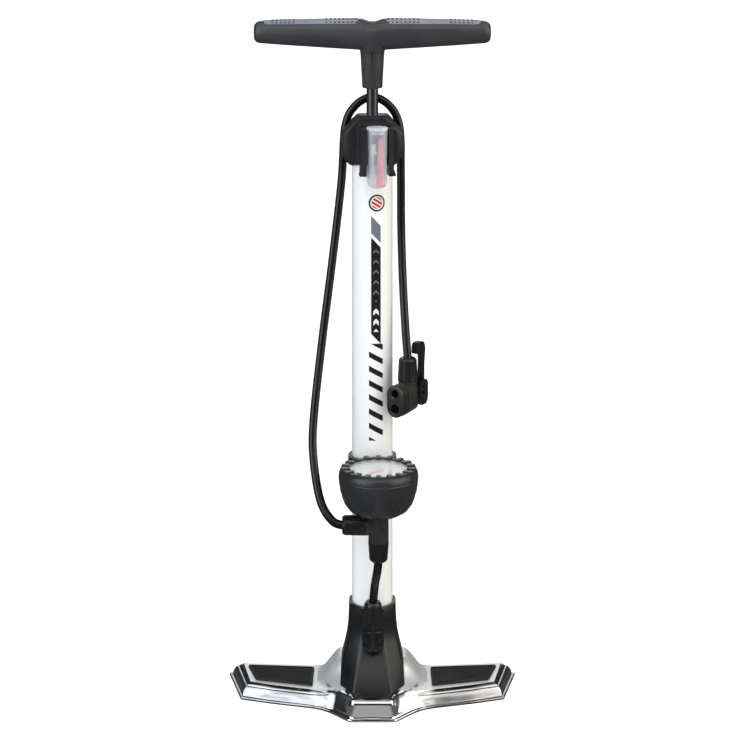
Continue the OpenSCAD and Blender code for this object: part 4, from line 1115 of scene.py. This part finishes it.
# ---------------------------------------------------------------- stage, light and camera
AMBIENT = 0.30           # the dark part of the studio, as it lights dull surfaces
MIRROR_AMBIENT = 0.035   # the same part as reflections see it
FLOOR_SHADE = 0.88       # how much darker the floor looks in reflections
NOSE_SHADE = 0.5         # the same for the patch of floor in front of the nose
WORLD_GAIN = 0.85
FLOOR_GLOW = 0.62        # lifts the floor to white in the camera's eye only
scene = bpy.context.scene
scene.view_settings.view_transform = "Standard"

floor_mesh = bpy.data.meshes.new("floor")
FLOOR_HALF = 12.0
corners = [(x * FLOOR_HALF, y * FLOOR_HALF, 0) for x, y in ((-1, -1), (1, -1), (1, 1), (-1, 1))]
floor_mesh.from_pydata(corners, [], [(0, 1, 2, 3)])
floor = bpy.data.objects.new("floor", floor_mesh)
scene.collection.objects.link(floor)
fm = Nodes("pale_floor")
glow = fm.node("Emission", {"Color": (1, 1, 1, 1), "Strength": FLOOR_GLOW})
fm.set(colour=fm.mix(fm.noise(3, 2), rgb("e2e2e2"), rgb("ebebeb")), rough=0.6, spec=0.1)
lifted = fm.node("AddShader", {0: fm.bsdf.outputs[0], 1: glow.outputs[0]})
seen = fm.node("LightPath").outputs["Is Camera Ray"]
floor_x, floor_y, _ = fm.axes(fm.coord)
in_front = fm.mul(fm.ramp(floor_y, -0.075, -0.055, 1.0, 0.0),
                  fm.ramp(fm.size(floor_x), 0.02, 0.05, 1.0, 0.0))
shade_share = fm.math("SUBTRACT", FLOOR_SHADE, fm.mul(in_front, FLOOR_SHADE - NOSE_SHADE))
in_mirror = fm.mul(fm.node("LightPath").outputs["Is Glossy Ray"], shade_share)
dull = fm.node("Emission", {"Color": (0.9, 0.95, 1.0, 1), "Strength": 0.03})
dimmed = fm.node("MixShader", {0: in_mirror, 1: fm.bsdf.outputs[0], 2: dull.outputs[0]})
both = fm.node("MixShader", {0: seen, 1: dimmed.outputs[0], 2: lifted.outputs[0]})
fm.tree.links.new(both.outputs[0], fm.tree.nodes["Material Output"].inputs[0])
floor_mesh.materials.append(fm.mat)

world = bpy.data.worlds.new("studio")
scene.world = world
world.use_nodes = True
wm = Nodes.__new__(Nodes)
wm.tree = world.node_tree
wm.tree.nodes.clear()
wm.coord = wm.node("TexCoord").outputs["Generated"]
dx, dy, dz = (wm.node("SeparateXYZ", {0: wm.coord}).outputs[k] for k in "XYZ")
DEG = 180 / PI
azimuth = wm.mul(wm.math("ARCTAN2", dx, wm.mul(dy, -1.0)), DEG)
elevation = wm.mul(wm.math("ARCSINE", dz), DEG)


def window(value, lo, hi, soft):
    sides = []
    for edge, before, after in ((lo, 0.0, 1.0), (hi, 1.0, 0.0)):
        limits = {0: value, 1: edge - soft, 2: edge + soft, 3: before, 4: after}
        sides.append(wm.node("MapRange", limits, interpolation_type="SMOOTHSTEP").outputs[0])
    return wm.mul(*sides)


# soft boxes painted on the sky: azimuth from the front towards the right, elevation, softness, strength, tint
BOXES = [
    (-78, -22, -12, 60, 8, 2.6, (0.92, 0.98, 1.05)),
    (34, 100, -12, 60, 8, 2.2, (1.05, 1.0, 0.91)),
    (-40, 46, 32, 54, 6, 2.1, (1.0, 1.0, 1.0)),
    (156, 188, 10, 36, 8, 1.5, (1.0, 1.0, 1.0)),
    (-188, -156, 10, 36, 8, 1.5, (0.97, 1.0, 1.03)),
    (100, 146, -4, 22, 8, 0.10, (0.8, 0.95, 1.2)),
    (-146, -100, -4, 22, 8, 0.10, (0.8, 0.95, 1.2)),
]
glossy = wm.node("LightPath").outputs["Is Glossy Ray"]
sky = wm.mix(glossy, (AMBIENT, AMBIENT, AMBIENT, 1.0), (MIRROR_AMBIENT, MIRROR_AMBIENT, MIRROR_AMBIENT, 1.0))
for az0, az1, el0, el1, soft, strength, box_tint in BOXES:
    mask = wm.mul(window(azimuth, az0, az1, soft), window(elevation, el0, el1, soft))
    sky = wm.mix(mask, sky, tuple(strength * c for c in box_tint) + (1.0,))
studio = wm.node("Background", {0: sky, 1: WORLD_GAIN})
white = wm.node("Background", {0: (1, 1, 1, 1), 1: 1.0})
camera_ray = wm.node("LightPath").outputs["Is Camera Ray"]
mixed = wm.node("MixShader", {0: camera_ray, 1: studio.outputs[0], 2: white.outputs[0]})
wm.node("OutputWorld", {0: mixed.outputs[0]})


def panel_light(name, location, target, size_x, size_y, power, colour):
    data = bpy.data.lights.new(name, "AREA")
    data.shape, data.size, data.size_y = "RECTANGLE", size_x, size_y
    data.energy, data.color = power, colour
    lamp = bpy.data.objects.new(name, data)
    scene.collection.objects.link(lamp)
    lamp.location = location
    lamp.rotation_euler = (Vector(target) - Vector(location)).to_track_quat("-Z", "Y").to_euler()


panel_light("left_box", (-1.35, -1.15, 0.75), (0, 0, 0.3), 0.5, 1.6, 3.0, (0.90, 0.96, 1.0))
panel_light("right_box", (1.45, -0.8, 0.7), (0, 0, 0.3), 0.5, 1.6, 2.4, (1.0, 0.96, 0.88))
panel_light("top_box", (0, -0.3, 2.1), (0, 0, 0.2), 1.5, 1.1, 4.0, (1.0, 1.0, 1.0))

EYE = Vector((-0.0022, -1.754, 0.744))
cam_data = bpy.data.cameras.new("camera")
cam_data.lens, cam_data.sensor_width = 90.97, 36.0
cam_data.clip_start, cam_data.clip_end = 0.05, 50.0
camera = bpy.data.objects.new("camera", cam_data)
scene.collection.objects.link(camera)
camera.location = EYE
camera.rotation_euler = (PI / 2, 0, 0)
scene.camera = camera
# the lens is shifted only at this viewpoint, so that upright lines stay parallel
LENS_SHIFT = -0.634
driver = cam_data.driver_add("shift_y").driver
driver.type = "SCRIPTED"
for letter, kind in zip("xyz", ("LOC_X", "LOC_Y", "LOC_Z")):
    var = driver.variables.new()
    var.name, var.type = letter, "TRANSFORMS"
    var.targets[0].id = camera
    var.targets[0].transform_type = kind
    var.targets[0].transform_space = "WORLD_SPACE"
driver.expression = "%.4f * (abs(x - %.5f) + abs(y - %.5f) + abs(z - %.5f) < 0.001)" % (
    LENS_SHIFT, EYE.x, EYE.y, EYE.z)
